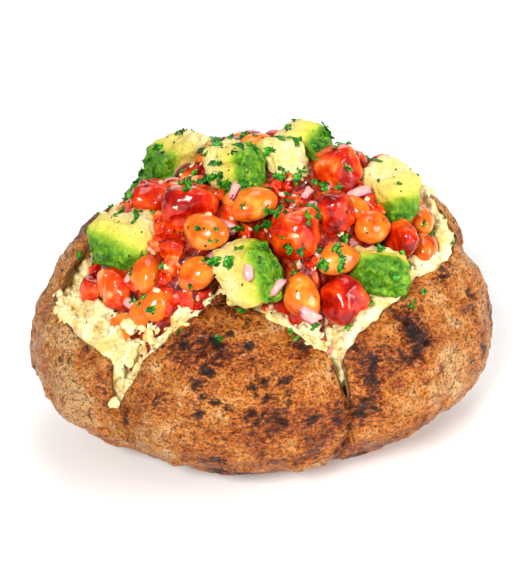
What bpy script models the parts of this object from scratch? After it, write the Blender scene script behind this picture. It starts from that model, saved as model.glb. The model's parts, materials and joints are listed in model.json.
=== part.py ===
"""Loaded baked potato: a jacket potato cut crosswise, squeezed open and heaped with a chunky topping.

The potato is one closed solid: its skin rises into four flaps, and its fluffed flesh mounds up between
them. On the flesh lies a heap of sauce, and in that heap sit the avocado chunks, the tomato chunks and
the beans, each a solid of its own. Run it with: blender --background --python part.py

Units are metres, +Z is up, +X runs along the potato's long axis, and the potato stands at z = 0.
Plan angles ("turn") run counter-clockwise from +X. "Rise" is the angle up the potato's profile: 0 at its
widest level, 90 at the top of the whole potato, and negative on its underside.
"""

import math
import random

import bmesh
import bpy
from mathutils import Euler, Matrix, Vector, noise
from mathutils.bvhtree import BVHTree

MM = 0.001

# Potato: driving sizes
HALF_LENGTH = 62.5 * MM
HALF_WIDTH = 50.5 * MM
WIDEST_LEVEL = 25.5 * MM  # height of the widest level above the base
BASE_RISE = -72.0  # where the underside meets its flat resting spot
SKIN = 1.4 * MM
FLESH_DROP = 1.0 * MM  # how far the flesh starts below the cut edge of the skin
LUMP = 0.9 * MM  # broad unevenness of the skin
LUMP_PITCH = 34.0 * MM

# Profile of the whole potato, by turn: (turn, value)
DOME_HEIGHT = (
    (0, 35), (20, 39), (45, 42), (75, 38), (105, 36), (135, 36),
    (160, 31), (180, 29.5), (225, 28.5), (270, 28.5), (315, 29),
)
DOME_SQUARENESS = (
    (0, 3.0), (20, 3.6), (45, 4.2), (75, 3.6), (105, 3.4), (135, 3.5),
    (160, 2.7), (180, 2.4), (225, 2.3), (270, 2.2), (315, 2.4),
)
UNDER_SQUARENESS = (
    (0, 1.75), (45, 1.9), (90, 2.0), (135, 2.0), (180, 1.9), (225, 1.85), (270, 1.9), (315, 1.7),
)

# The four slits, and the cut edge of the skin between them: (turn, rise)
SLITS = (8.0, 108.0, 223.5, 283.5)
PINCH = 0.045  # how far the skin draws in along a slit, as a share of its radius
PINCH_SPREAD = 9.0  # degrees of turn
CUT_EDGE = (
    (0, 38), (5, 31), (8, 27), (11, 31), (16, 40), (23, 43), (31, 44), (55, 52), (80, 45), (98, 34),
    (105, 18), (108, 6), (111, 18), (118, 28), (131, 30), (146, 36), (160, 37), (181, 33), (198, 33),
    (208, 31), (214, 29), (218.5, 26), (221, 14), (223.5, 6), (225.5, 17), (227, 29), (229, 42),
    (232, 51), (236, 63), (242, 67), (253, 64), (261, 59), (270, 52), (275, 46), (278.5, 40),
    (281, 30), (282.3, 16), (283.5, -3), (284.3, 16), (285.5, 31), (288, 37), (294, 43), (306, 49),
    (328, 52), (339, 47), (350, 43),
)

# Flesh mound and the topping's outline: centre, half sizes, foot height and height
FLESH_HALF = (56 * MM, 45 * MM)
FLESH_FOOT = 38.5 * MM
FLESH_HEIGHT = 19 * MM
HEAP_CENTRE = (2 * MM, 3 * MM)
HEAP_HALF = (54 * MM, 45 * MM)
HEAP_FOOT = 39 * MM
HEAP_HEIGHT = 45 * MM
HEAP_FULLNESS = 0.68
PIECE_HALF = (48.5 * MM, 39.5 * MM)  # the dome that the toppings' centres lie on
PIECE_FOOT = 37.5 * MM
PIECE_HEIGHT = 40 * MM
SAUCE_DEPTH = 6.5 * MM  # how far the sauce lies below the topping's outline
SAUCE_EDGE = 0.8 * MM

GAP = 0.3 * MM  # between touching solids
SHELL = 0.22 * MM  # half the clearance that settling keeps between toppings
SETTLE_STEP = 0.3 * MM
SETTLE_ROUNDS = 240
LEASH = 4 * MM  # how far a topping may be pushed from its place
WALL_REACH = 5 * MM

# Mesh fineness
PLAIN_TURN_STEP = 6
SLIT_TURN_OFFSETS = (-5, -2.5, -1.2, 0, 1.2, 2.5, 5)
SKIN_ROWS = 9
FLESH_ROWS = 11
FLESH_EASE_ROWS = 2.5  # rows over which the flesh rises from the skin to its mound
SAUCE_ROW = 2  # the row of the flesh that the sauce reaches out to

# Toppings. Chunks stand as they fell: place (across, back), way the skin side faces in plan, its pitch
# above level, roll, and size (skin side to back, across, height), in millimetres and degrees.
AVOCADO = (
    (-17, 17, 207, -4, 8, (16, 12, 11)),
    (-6.5, -4, -45, 6, -6, (12.5, 11, 11.5)),
    (13, 14, -38, 10, 4, (13, 11, 11)),
    (6.5, -0.5, 100, -24, 0, (8.5, 10.5, 9)),
    (-32, -4, 238, 4, 4, (12, 17, 12)),
    (-5.5, -24, -22, 20, -10, (14, 11, 14)),
    (30.5, -2, -48, -8, 6, (13.5, 12.5, 12.5)),
    (22, -23, 268, 0, -6, (9, 14, 11)),
    (-26, 28, 140, 6, 0, (13, 13, 11)),
    (5, 32.5, 60, -8, 10, (11, 12.5, 10.5)),
    (29, 20.5, 35, 4, -8, (10.5, 12, 10)),
)
TOMATO = (
    (17, -2.5, 300, 15, 10, (9, 10, 10)),
    (-26, 7, 250, -20, 6, (9, 9, 9)),
    (-17.5, -7, 260, 12, -8, (9, 13, 11)),
    (16.5, -13.5, 280, 8, 10, (8, 9, 9)),
    (5, -20.5, 250, -6, 14, (9, 11.5, 10.5)),
    (13.5, -29, 300, 10, 4, (9, 10, 10)),
    (-38, -9.5, 255, 20, 0, (9, 9, 9)),
    (-24, -14, 240, 0, 0, (7, 9, 6)),
    (-29, -20.5, 265, 10, 0, (8, 9, 8)),
    (31, 12, 20, 15, 6, (8.5, 7, 6.5)),
    (-6, 18, 200, 30, 0, (8, 8, 8)),
    (40, 9, 330, -10, 0, (8, 8, 6)),
    (23, 5, 320, 0, 0, (6, 6, 8)),
    (6, -32, 280, -10, 0, (5, 8, 5)),
    (-43.5, -1.5, 210, 10, 0, (9, 7, 7)),
    (32, -13.5, 300, 0, 0, (7, 6, 8)),
    (-10, 28, 110, 15, -10, (12, 11, 10)),
    (17, 28, 70, -12, 6, (8, 9, 9)),
    (-36, 21, 150, 0, 12, (10, 9, 9)),
    (7, 23, 80, 20, 0, (7.5, 8, 8)),
    (-6, 37, 95, 0, 0, (8, 10, 8)),
)
# Beans lie on the heap: place, turn on its slope, length, width, and lift off the dome of centres
BEANS = (
    (-2, -14.5, 16, 12, 8.5, 1),
    (-17, -16.5, 145, 12, 9, 1),
    (-30.5, -15.5, 75, 9.5, 8, 0.5),
    (-22, -21, 20, 10.5, 8, 0.5),
    (-39, -16, 25, 12, 8.5, 0.5),
    (24.5, -17, 20, 10, 8.5, 0.5),
    (13.5, -23, 15, 11, 8, 0.5),
    (3.5, -30, 105, 12, 8.5, 0.5),
    (41, 1, 75, 10.5, 8, 0.5),
    (33.5, -16.5, 120, 8.5, 7, 0),
    (-33, 14, 20, 10.5, 7.5, 0.5),
    (-41, 10, 40, 9, 7, 0.5),
    (-1, 14, 5, 9.5, 7.5, 0.5),
    (41, -7, 60, 9.5, 7.5, 0.5),
    (23, 12, 150, 10, 7.5, 0.5),
    (-43, -10, 60, 9.5, 7.5, 0.5),
    (-17, 38, 30, 11, 8, 0.5),
    (-2, 24, 150, 11, 8, 0.5),
    (17, 22, 80, 10.5, 8, 0.5),
    (39, 17, 130, 9, 7, 1.5),
    (-17, 26, 70, 10, 8, 0.5),
)

# Colours: sRGB, roughness
LOOKS = {
    "potato": ((0.62, 0.38, 0.2), 0.6),
    "sauce": ((0.62, 0.13, 0.05), 0.3),
    "avocado": ((0.7, 0.75, 0.35), 0.45),
    "tomato": ((0.82, 0.16, 0.08), 0.3),
    "bean": ((0.87, 0.45, 0.13), 0.3),
}


def clear_scene():
    for obj in list(bpy.data.objects):
        bpy.data.objects.remove(obj)


def make_material(name):
    colour, roughness = LOOKS[name]
    material = bpy.data.materials.new(name)
    material.use_nodes = True
    shader = material.node_tree.nodes["Principled BSDF"]
    shader.inputs["Base Color"].default_value = (*(c**2.2 for c in colour), 1)
    shader.inputs["Roughness"].default_value = roughness
    shader.inputs["Metallic"].default_value = 0.0
    return material


def add_object(name, bm, material):
    mesh = bpy.data.meshes.new(name)
    bmesh.ops.recalc_face_normals(bm, faces=bm.faces)
    bm.to_mesh(mesh)
    bm.free()
    mesh.shade_smooth()
    mesh.materials.append(material)
    obj = bpy.data.objects.new(name, mesh)
    bpy.context.scene.collection.objects.link(obj)
    return obj


# ---------------------------------------------------------------- potato


def around(keys, turn):
    """A smooth closed curve through (turn, value) keys that never overshoots them."""
    turn = (turn - keys[0][0]) % 360 + keys[0][0]
    spots = [(keys[-1][0] - 360, keys[-1][1]), *keys, (keys[0][0] + 360, keys[0][1])]
    spots.append((keys[1][0] + 360, keys[1][1]))
    at = next(i for i in range(1, len(spots) - 2) if turn <= spots[i + 1][0])
    width = spots[at + 1][0] - spots[at][0]
    share = (turn - spots[at][0]) / width

    def slope(i):
        before = (spots[i][1] - spots[i - 1][1]) / (spots[i][0] - spots[i - 1][0])
        after = (spots[i + 1][1] - spots[i][1]) / (spots[i + 1][0] - spots[i][0])
        return 2 * before * after / (before + after) if before * after > 0 else 0.0

    low, high = spots[at][1], spots[at + 1][1]
    leave, arrive = slope(at) * width, slope(at + 1) * width
    return (
        low * (2 * share**3 - 3 * share**2 + 1)
        + leave * (share**3 - 2 * share**2 + share)
        + high * (3 * share**2 - 2 * share**3)
        + arrive * (share**3 - share**2)
    )


def turn_between(a, b):
    return abs((a - b + 180) % 360 - 180)


def skin_point(turn, rise):
    """A point of the skin's outer face."""
    tilt = math.radians(abs(rise))
    if rise >= 0:
        power = 2 / around(DOME_SQUARENESS, turn)
        height = around(DOME_HEIGHT, turn) * MM * math.sin(tilt) ** power
    else:
        power = 2 / around(UNDER_SQUARENESS, turn)
        height = -WIDEST_LEVEL * (math.sin(tilt) / math.sin(math.radians(-BASE_RISE))) ** power
    reach = math.cos(tilt) ** power
    nearest = min(turn_between(turn, slit) for slit in SLITS)
    lowness = min(1.0, (rise - BASE_RISE) / -BASE_RISE)
    reach *= 1 - PINCH * math.exp(-((nearest / PINCH_SPREAD) ** 2)) * lowness
    angle = math.radians(turn)
    point = Vector((HALF_LENGTH * reach * math.cos(angle), HALF_WIDTH * reach * math.sin(angle), height))
    swell = 1 + LUMP / HALF_WIDTH * noise.noise(point / LUMP_PITCH) * lowness
    return Vector((point.x * swell, point.y * swell, WIDEST_LEVEL + point.z))


def flesh_height(x, y):
    """Top of the fluffed flesh, away from the skin."""
    out = (x / FLESH_HALF[0]) ** 2 + (y / FLESH_HALF[1]) ** 2
    return FLESH_FOOT + FLESH_HEIGHT * (1 - out)


def dome(x, y, half, foot, height):
    """Height of a dome over the middle of the topping."""
    out = ((x - HEAP_CENTRE[0]) / half[0]) ** 2 + ((y - HEAP_CENTRE[1]) / half[1]) ** 2
    return foot + height * max(0.0, 1 - out) ** HEAP_FULLNESS


def heap_height(x, y):
    """Outline of the topping: where the tops of its pieces lie."""
    return dome(x, y, HEAP_HALF, HEAP_FOOT, HEAP_HEIGHT)


def piece_centre(x, y):
    return Vector((x, y, dome(x, y, PIECE_HALF, PIECE_FOOT, PIECE_HEIGHT)))


def heap_normal(x, y):
    step = 0.5 * MM
    along = heap_height(x + step, y) - heap_height(x - step, y)
    back = heap_height(x, y + step) - heap_height(x, y - step)
    return Vector((-along, -back, 2 * step)).normalized()


def columns():
    """Plan angles of the potato's mesh, closer together at the slits."""
    turns = {turn for turn in range(0, 360, PLAIN_TURN_STEP)}
    for slit in SLITS:
        turns = {turn for turn in turns if turn_between(turn, slit) > 6.5}
        turns |= {(slit + offset) % 360 for offset in SLIT_TURN_OFFSETS}
    return sorted(turns)


def bowl_column(turn, undersides):
    """One column from the skin's inner edge to near the middle.

    It gives the flesh as it would lie with nothing on it, and the ceiling that the toppings leave above it:
    the flesh itself out by the skin, then the top of the sauce.
    """
    edge = skin_point(turn, around(CUT_EDGE, turn))
    inward = -Vector((edge.x, edge.y, 0)).normalized()
    start = edge + inward * 2 * SKIN - Vector((0, 0, FLESH_DROP))
    flesh, ceiling = [], []
    for row in range(FLESH_ROWS):
        share = row / FLESH_ROWS
        x, y = start.x * (1 - share), start.y * (1 - share)
        ease = min(1.0, share * FLESH_ROWS / FLESH_EASE_ROWS)
        height = start.z + (flesh_height(x, y) - start.z) * ease * ease * (3 - 2 * ease)
        flesh.append(Vector((x, y, height)))
        top = heap_height(x, y) - SAUCE_DEPTH if row >= SAUCE_ROW else height
        ceiling.append(Vector((x, y, min(top, undersides(x, y) - GAP))))
    ceiling[0].z = start.z
    return flesh, ceiling


def bowl(turns, pieces):
    """Flesh and sauce surfaces as rings of points, from the skin inwards, each ending in a middle point."""
    undersides = room_under(pieces)
    columns_made = [bowl_column(turn, undersides) for turn in turns]
    flesh = [[column[0][row] for column in columns_made] for row in range(FLESH_ROWS)]
    ceiling = [[column[1][row] for column in columns_made] for row in range(FLESH_ROWS)]
    flesh.append([Vector((0, 0, flesh_height(0, 0)))])
    ceiling.append([Vector((0, 0, min(heap_height(0, 0) - SAUCE_DEPTH, undersides(0, 0) - GAP)))])
    sink_under(ceiling, pieces)
    for row, ring in enumerate(flesh):
        for point, top in zip(ring, ceiling[row]):
            point.z = min(point.z, top.z - (GAP + SAUCE_EDGE if row >= SAUCE_ROW else 0))
    sauce = ceiling[SAUCE_ROW:]
    for ring, below in zip(sauce, flesh[SAUCE_ROW:]):
        for point, low in zip(ring, below):
            point.z = max(point.z, low.z + GAP + SAUCE_EDGE)
    return flesh, sauce


def sink_under(rings, pieces):
    """Lowers a surface, a little at a time, wherever a topping still reaches through it."""
    trees = [piece.tree() for piece in pieces]
    corners = [corner for ring in rings for corner in ring]
    faces = ring_faces([len(ring) for ring in rings])
    for _ in range(SETTLE_ROUNDS):
        surface = BVHTree.FromPolygons(corners, faces)
        touched = {corner for tree in trees for face, _ in surface.overlap(tree) for corner in faces[face]}
        if not touched:
            return
        for corner in touched:
            corners[corner].z -= SETTLE_STEP
    raise RuntimeError("a topping lies below the flesh")


def ring_faces(counts):
    """Triangles between one ring of corners and the next; a ring of one corner closes the surface."""
    faces = []
    start = 0
    for count, following_count in zip(counts, counts[1:]):
        after = start + count
        for i in range(count):
            j = (i + 1) % count
            if following_count == 1:
                faces.append((start + i, start + j, after))
            else:
                faces.append((start + i, start + j, after + j))
                faces.append((start + i, after + j, after + i))
        start = after
    return faces


def add_surface(bm, rings):
    """Adds rings of points to the mesh with the faces between them, and gives back the first ring."""
    corners = [bm.verts.new(point) for ring in rings for point in ring]
    for face in ring_faces([len(ring) for ring in rings]):
        bm.faces.new(corners[corner] for corner in face)
    return corners[: len(rings[0])]


def build_potato(turns, flesh, material):
    """Flat spot, skin, cut edge and fluffed flesh, as one closed surface."""
    bm = bmesh.new()
    rings = []
    for row in range(SKIN_ROWS + 1):
        share = row / SKIN_ROWS
        rises = [BASE_RISE + (around(CUT_EDGE, turn) - BASE_RISE) * share for turn in turns]
        rings.append([skin_point(turn, rise) for turn, rise in zip(turns, rises)])
    rings.append([edge - Vector((edge.x, edge.y, 0)).normalized() * SKIN for edge in rings[-1]])
    base = add_surface(bm, rings + flesh)
    bm.faces.new(base)
    return add_object("potato", bm, material)


def build_sauce(flesh, sauce, material):
    """The heap between the flesh and the toppings: it rests on the flesh and is dented by each piece."""
    bm = bmesh.new()
    lift = Vector((0, 0, GAP))
    low_edge = add_surface(bm, [[point + lift for point in ring] for ring in flesh[SAUCE_ROW:]])
    high_edge = add_surface(bm, sauce)
    for i, corner in enumerate(low_edge):
        j = (i + 1) % len(low_edge)
        bm.faces.new((corner, low_edge[j], high_edge[j], high_edge[i]))
    return add_object("sauce_heap", bm, material)


# ---------------------------------------------------------------- toppings


def chunk_mesh(size, seed):
    """A knife-cut dice with eased edges. Its +X side is the fruit's own skin side and bulges."""
    rough = random.Random(seed)
    bm = bmesh.new()
    bmesh.ops.create_cube(bm, size=1.0)
    for vert in bm.verts:
        vert.co += Vector(rough.uniform(-0.09, 0.09) for _ in range(3))
    bmesh.ops.bevel(
        bm, geom=bm.edges[:], offset=0.13, segments=1, profile=0.6, affect="EDGES", clamp_overlap=True
    )
    side = max(bm.faces, key=lambda face: face.calc_center_median().x)
    bulge = bmesh.ops.poke(bm, faces=[side])["verts"][0]
    bulge.co.x += 0.09
    bm.transform(Matrix.Diagonal((*size, 1)) * MM)
    return bm


def bean_mesh(length, width, seed):
    """A plump kidney-shaped bean, long along X, with its hollow side towards -Y."""
    rough = random.Random(seed)
    bm = bmesh.new()
    bmesh.ops.create_uvsphere(bm, u_segments=9, v_segments=6, radius=0.5)
    bm.transform(Matrix.Rotation(math.radians(90), 4, "Y"))
    curve = rough.uniform(0.12, 0.3)
    for vert in bm.verts:
        x, y, z = vert.co
        plump = 1 + 0.12 * math.cos(2 * math.pi * x)
        vert.co = Vector((x * length, (y * plump - curve * (2 * x) ** 2 * 0.5 + curve * 0.2) * width, z * width * 0.9))
    bm.transform(Matrix.Scale(MM, 4))
    return bm


class Piece:
    """A topping: its mesh turned as it lies, round its centre, and where that centre is."""

    def __init__(self, name, kind, bm, turned, centre):
        bm.transform(turned.to_4x4())
        bm.normal_update()
        self.name, self.kind, self.bm, self.centre = name, kind, bm, centre
        self.shell = [vert.co + vert.normal * SHELL for vert in bm.verts]
        bm.verts.index_update()
        self.faces = [[vert.index for vert in face.verts] for face in bm.faces]
        self.radius = max(corner.length for corner in self.shell)

    def tree(self):
        return BVHTree.FromPolygons([corner + self.centre for corner in self.shell], self.faces)


def place_chunks(kind, rows):
    for number, (x, y, way, pitch, roll, size) in enumerate(rows, 1):
        x, y = x * MM, y * MM
        centre = piece_centre(x, y)
        turned = Euler(map(math.radians, (roll, -pitch, way))).to_matrix()
        yield Piece(f"{kind}_{number:02d}", kind, chunk_mesh(size, f"{kind}{number}"), turned, centre)


def place_beans(rows):
    for number, (x, y, turn, length, width, lift) in enumerate(rows, 1):
        x, y = x * MM, y * MM
        normal = heap_normal(x, y)
        centre = piece_centre(x, y) + normal * lift * MM
        across = (Vector((1, 0, 0)) - normal * normal.x).normalized()
        lie = Matrix((across, normal.cross(across), normal)).transposed()
        turned = lie @ Matrix.Rotation(math.radians(turn), 3, "Z")
        yield Piece(f"bean_{number:02d}", "bean", bean_mesh(length, width, f"bean{number}"), turned, centre)


def skin_wall(turns):
    """The cut edge of the skin and the flesh just inside it, which the toppings keep clear of."""
    outer = [skin_point(turn, around(CUT_EDGE, turn)) for turn in turns]
    rings = [outer]
    for inset, drop in ((-SHELL, 2 * SKIN), (SKIN, 0), (2 * SKIN, FLESH_DROP), (WALL_REACH, FLESH_DROP)):
        ring = []
        for edge in outer:
            inward = -Vector((edge.x, edge.y, 0)).normalized()
            ring.append(edge + inward * inset - Vector((0, 0, drop)))
        rings.append(ring)
    corners = [corner for ring in rings for corner in ring]
    faces = ring_faces([len(ring) for ring in rings])
    return BVHTree.FromPolygons(corners, faces)


def settle(pieces, wall):
    """Pushes overlapping toppings apart, and inward off the skin, a little at a time until each has room."""
    homes = [piece.centre.copy() for piece in pieces]
    for _ in range(SETTLE_ROUNDS):
        trees = [piece.tree() for piece in pieces]
        crowded = []
        for i, a in enumerate(pieces):
            if trees[i].overlap(wall):
                inward = Vector((HEAP_CENTRE[0] - a.centre.x, HEAP_CENTRE[1] - a.centre.y, 0)).normalized()
                a.centre += (inward + Vector((0, 0, 0.5))) * SETTLE_STEP
                crowded.append((a.name, "skin"))
            for j in range(i + 1, len(pieces)):
                b = pieces[j]
                apart = b.centre - a.centre
                if apart.length < a.radius + b.radius and trees[i].overlap(trees[j]):
                    push = apart.normalized() * SETTLE_STEP / 2
                    a.centre -= push
                    b.centre += push
                    crowded.append((a.name, b.name))
        if not crowded:
            return
        for piece, home in zip(pieces, homes):
            strayed = piece.centre - home
            if strayed.length > LEASH:
                piece.centre = home + strayed.normalized() * LEASH
    raise RuntimeError(f"no room between {crowded}")


def room_under(pieces):
    """A function that gives how high a surface may reach at (x, y) and stay below every topping."""
    trees = [piece.tree() for piece in pieces]
    reach = 2.4 * MM
    probes = [(0.0, 0.0)]
    for step in range(8):
        angle = math.radians(45 * step)
        probes.append((reach * math.cos(angle), reach * math.sin(angle)))
    up = Vector((0, 0, 1))

    def lowest(x, y):
        found = 1.0
        for piece, tree in zip(pieces, trees):
            near = math.hypot(piece.centre.x - x, piece.centre.y - y)
            if near > piece.radius + reach:
                continue
            for dx, dy in probes:
                hit = tree.ray_cast(Vector((x + dx, y + dy, 0)), up)[0]
                if hit is not None:
                    found = min(found, hit.z)
        return found

    return lowest


def build_toppings(pieces, materials):
    for piece in pieces:
        obj = add_object(piece.name, piece.bm, materials[piece.kind])
        obj.location = piece.centre


def centre_on_origin():
    """Puts the middle of the whole object's box over the origin, standing at z = 0."""
    bpy.context.view_layer.update()
    objects = bpy.context.scene.objects
    corners = [obj.matrix_world @ vert.co for obj in objects for vert in obj.data.vertices]
    low = Vector(min(corner[axis] for corner in corners) for axis in range(3))
    high = Vector(max(corner[axis] for corner in corners) for axis in range(3))
    shift = Vector((-(low.x + high.x) / 2, -(low.y + high.y) / 2, -low.z))
    for obj in objects:
        obj.location += shift


def main():
    clear_scene()
    materials = {name: make_material(name) for name in LOOKS}
    pieces = [*place_chunks("avocado", AVOCADO), *place_chunks("tomato", TOMATO), *place_beans(BEANS)]
    turns = columns()
    settle(pieces, skin_wall(turns))
    flesh, sauce = bowl(turns, pieces)
    build_potato(turns, flesh, materials["potato"])
    build_sauce(flesh, sauce, materials["sauce"])
    build_toppings(pieces, materials)
    centre_on_origin()


if __name__ == "__main__":
    main()
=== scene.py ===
"""Loaded baked potato: the skin, flesh, sauce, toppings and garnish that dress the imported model.

The potato is cut crosswise and squeezed open. Its skin stands up in four flaps, its flesh fluffs up between
them, and a heap of sauce, avocado, tomato, beans, onion and herbs lies on top. Units are metres, +Z is up and
+X runs along the potato's long axis. Plan angles ("turn") run counter-clockwise from +X. "Rise" is the angle
up the potato's profile: 0 at its widest level, 90 at the top of the whole potato, negative underneath.
"""

import json
import math
import random

import bmesh
import bpy
from mathutils import Euler, Matrix, Vector, noise
from mathutils.bvhtree import BVHTree
from mathutils.kdtree import KDTree

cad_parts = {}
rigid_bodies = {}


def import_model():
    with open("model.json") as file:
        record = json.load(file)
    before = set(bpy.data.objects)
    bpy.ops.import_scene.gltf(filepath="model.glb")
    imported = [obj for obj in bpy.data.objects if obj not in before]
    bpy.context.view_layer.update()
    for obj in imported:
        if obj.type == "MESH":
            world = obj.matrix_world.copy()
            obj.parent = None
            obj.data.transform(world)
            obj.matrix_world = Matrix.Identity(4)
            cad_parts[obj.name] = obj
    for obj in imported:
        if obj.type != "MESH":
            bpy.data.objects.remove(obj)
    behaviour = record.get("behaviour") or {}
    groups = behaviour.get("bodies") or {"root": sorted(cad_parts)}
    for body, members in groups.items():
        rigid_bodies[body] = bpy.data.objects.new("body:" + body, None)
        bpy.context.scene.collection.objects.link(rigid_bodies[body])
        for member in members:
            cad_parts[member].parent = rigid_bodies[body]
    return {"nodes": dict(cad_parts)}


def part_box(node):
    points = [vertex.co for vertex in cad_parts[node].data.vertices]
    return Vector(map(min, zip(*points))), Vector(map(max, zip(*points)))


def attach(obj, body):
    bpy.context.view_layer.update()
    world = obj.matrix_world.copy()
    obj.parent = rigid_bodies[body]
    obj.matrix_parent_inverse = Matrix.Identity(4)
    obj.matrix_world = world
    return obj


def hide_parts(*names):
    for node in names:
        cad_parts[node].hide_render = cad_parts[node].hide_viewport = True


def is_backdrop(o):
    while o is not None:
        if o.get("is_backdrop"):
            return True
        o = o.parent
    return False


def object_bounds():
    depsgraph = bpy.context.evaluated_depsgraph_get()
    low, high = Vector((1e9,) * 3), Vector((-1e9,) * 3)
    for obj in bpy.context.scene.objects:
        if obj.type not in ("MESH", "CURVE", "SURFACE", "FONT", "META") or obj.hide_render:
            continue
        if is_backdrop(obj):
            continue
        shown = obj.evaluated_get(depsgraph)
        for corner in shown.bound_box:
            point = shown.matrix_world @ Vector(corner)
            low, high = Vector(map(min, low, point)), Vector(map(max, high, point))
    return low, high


bl_info = {
    "name": "Loaded Baked Potato",
    "version": (1, 0, 0),
    "blender": (4, 5, 0),
    "location": "View3D > Sidebar > Baked Potato",
    "description": "Builds a baked potato heaped with beans, tomato and avocado, piece by piece",
    "category": "Object",
}

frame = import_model()
CAD_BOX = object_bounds()
MM = 0.001
BODY = "root"

# ---------------------------------------------------------------- the potato's shape

HALF_LENGTH = 62.5 * MM
HALF_WIDTH = 50.5 * MM
WIDEST_LEVEL = 25.5 * MM
BASE_RISE = -72.0
LUMP = 0.9 * MM  # height of the potato's broad unevenness
LUMP_PITCH = 34.0 * MM
RELIEF_ROOM = 0.2 * MM  # kept free inside the model's box for the relief of the skin

# (turn, value) round the potato: height above the widest level in mm, and how square the profile is
DOME_HEIGHT = (
    (0, 35), (20, 39), (45, 42), (75, 38), (105, 36), (135, 36),
    (160, 31), (180, 29.5), (225, 28.5), (270, 28.5), (315, 29),
)
DOME_SQUARENESS = (
    (0, 3.0), (20, 3.6), (45, 4.2), (75, 3.6), (105, 3.4), (135, 3.5),
    (160, 2.7), (180, 2.4), (225, 2.3), (270, 2.2), (315, 2.4),
)
UNDER_SQUARENESS = (
    (0, 1.75), (45, 1.9), (90, 2.0), (135, 2.0), (180, 1.9), (225, 1.85), (270, 1.9), (315, 1.7),
)
SLITS = (8.0, 108.0, 223.5, 283.5)
PINCH = 0.045  # how far the skin draws in along a slit, as a share of its radius
PINCH_SPREAD = 9.0  # degrees of turn
# (turn, rise) of the skin's cut edge: high on the four flaps, low in the four slits
CUT_EDGE = (
    (0, 38), (5, 31), (8, 27), (11, 31), (16, 40), (23, 43), (31, 44), (55, 52), (80, 45), (98, 34),
    (105, 18), (108, 6), (111, 18), (118, 28), (131, 33), (142, 41), (155, 44), (168, 37), (181, 30),
    (198, 30.5), (208, 31), (214, 29), (218.5, 26), (221, 14), (223.5, 6), (225.5, 17), (227, 29), (229, 42),
    (232, 51), (236, 63), (242, 67), (253, 64), (261, 59), (270, 52), (275, 46), (278.5, 40),
    (281.6, 31), (282.8, 22), (283.5, 11), (284.0, 22), (284.9, 32), (288, 37), (294, 43), (306, 49),
    (328, 52), (339, 47), (350, 43),
)
# Width in mm of the pale flesh that clings to the skin along its cut edge
CLINGING_FLESH = (
    (0, 0.2), (60, 0.2), (150, 0.2), (210, 0.2), (224, 0.4), (229, 1.3), (240, 1.6), (249, 0.6), (270, 0.3),
    (283.5, 0.1), (300, 0.3),
)
# How far in degrees of rise the fluffed flesh starts below the cut edge, and how far in mm it bulges above it
FLESH_DROP = (
    (0, 0.5), (30, 4), (55, 7), (85, 2), (108, 0.5), (135, 5), (150, 14), (165, 14), (176, 7), (190, 2),
    (202, 0.5), (223.5, 0.5), (240, 0.5), (270, 0.5), (300, 0.5), (330, 0.5),
)
FLESH_BULGE = (
    (0, 3.4), (20, 2.6), (40, 0.6), (60, 0), (90, 1), (120, 1.6), (150, 0.3), (165, 0.3), (180, 2), (192, 3),
    (205, 3.2), (223.5, 1.4), (236, 1.2), (246, 1.6), (256, 1.2), (268, 2.2), (283.5, 0.5), (292, 2.4),
    (310, 3.0), (335, 3.8),
)
# Where a slit is open the flesh lies back from it: turn of the slit, lowest rise of the flesh, and mm inwards
OPEN_SLITS = ((8.0, 16, 0.8), (108.0, 14, 0.8), (223.5, 8, 1.4), (283.5, 22, 2.2))
# Where the potato's eyes gather: turn, rise, spread in degrees, and how many
EYE_GATHERINGS = ((252, 46, 18, 5), (250, 18, 22, 7), (274, 30, 12, 3), (316, 24, 22, 5), (205, 18, 20, 6))
# The mound of flesh: half sizes, level of its foot, and height
FLESH_HALF = (56 * MM, 45 * MM)
FLESH_FOOT = 39.0 * MM
FLESH_HEIGHT = 19 * MM

# ---------------------------------------------------------------- the heap's shape

HEAP_CENTRE = (2 * MM, 3 * MM)
HEAP_HALF = (54 * MM, 45 * MM)
HEAP_FOOT = 39 * MM
HEAP_HEIGHT = 45 * MM
HEAP_FULLNESS = 0.68

# The side of each avocado chunk that lay against the fruit's skin: its direction in plan, and its pitch
AVOCADO_GREEN_SIDE = {
    "avocado_01": (207, -4), "avocado_02": (-45, 6), "avocado_03": (-38, 10), "avocado_04": (100, -24),
    "avocado_05": (226, -34), "avocado_06": (-22, 20), "avocado_07": (-76, -54), "avocado_08": (268, 0),
    "avocado_09": (140, 6), "avocado_10": (60, -8), "avocado_11": (35, 4),
}
# Where a pale chip of flesh sticks to the skin, at the foot of a slit: turn and rise
CHIP_PLACE = (222.5, 9)
# Where onion lies thickest: place (across, back) and spread in mm, and how many pieces
ONION_GATHERINGS = ((0, -26, 18, 16), (22, -16, 16, 8), (-32, -4, 16, 6), (0, 28, 30, 14))

DROP_HEIGHT = 15  # mm above the heap, from which small things fall on it
FULL_TURN = 6.28  # radians
SEED_RANGE = 90.0  # width of the field of noise that bits take their unevenness from

# ---------------------------------------------------------------- settings


def linear(hex_colour):
    """Turns an sRGB hex colour into the linear values that shaders use."""
    parts = [int(hex_colour[i : i + 2], 16) / 255 for i in (1, 3, 5)]
    return tuple(part / 12.92 if part <= 0.04045 else ((part + 0.055) / 1.055) ** 2.4 for part in parts)


def colour_setting(name, hex_colour, description):
    return bpy.props.FloatVectorProperty(
        name=name, description=description, default=linear(hex_colour), size=3, subtype="COLOR", min=0, max=1
    )


def length_setting(name, millimetres, description):
    return bpy.props.FloatProperty(
        name=name, description=description, default=millimetres * MM, min=0, unit="LENGTH", subtype="DISTANCE"
    )


def angle_setting(name, degrees, description):
    return bpy.props.FloatProperty(
        name=name, description=description, default=math.radians(degrees), subtype="ANGLE"
    )


def count_setting(name, count, description):
    return bpy.props.IntProperty(name=name, description=description, default=count, min=0)


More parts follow.
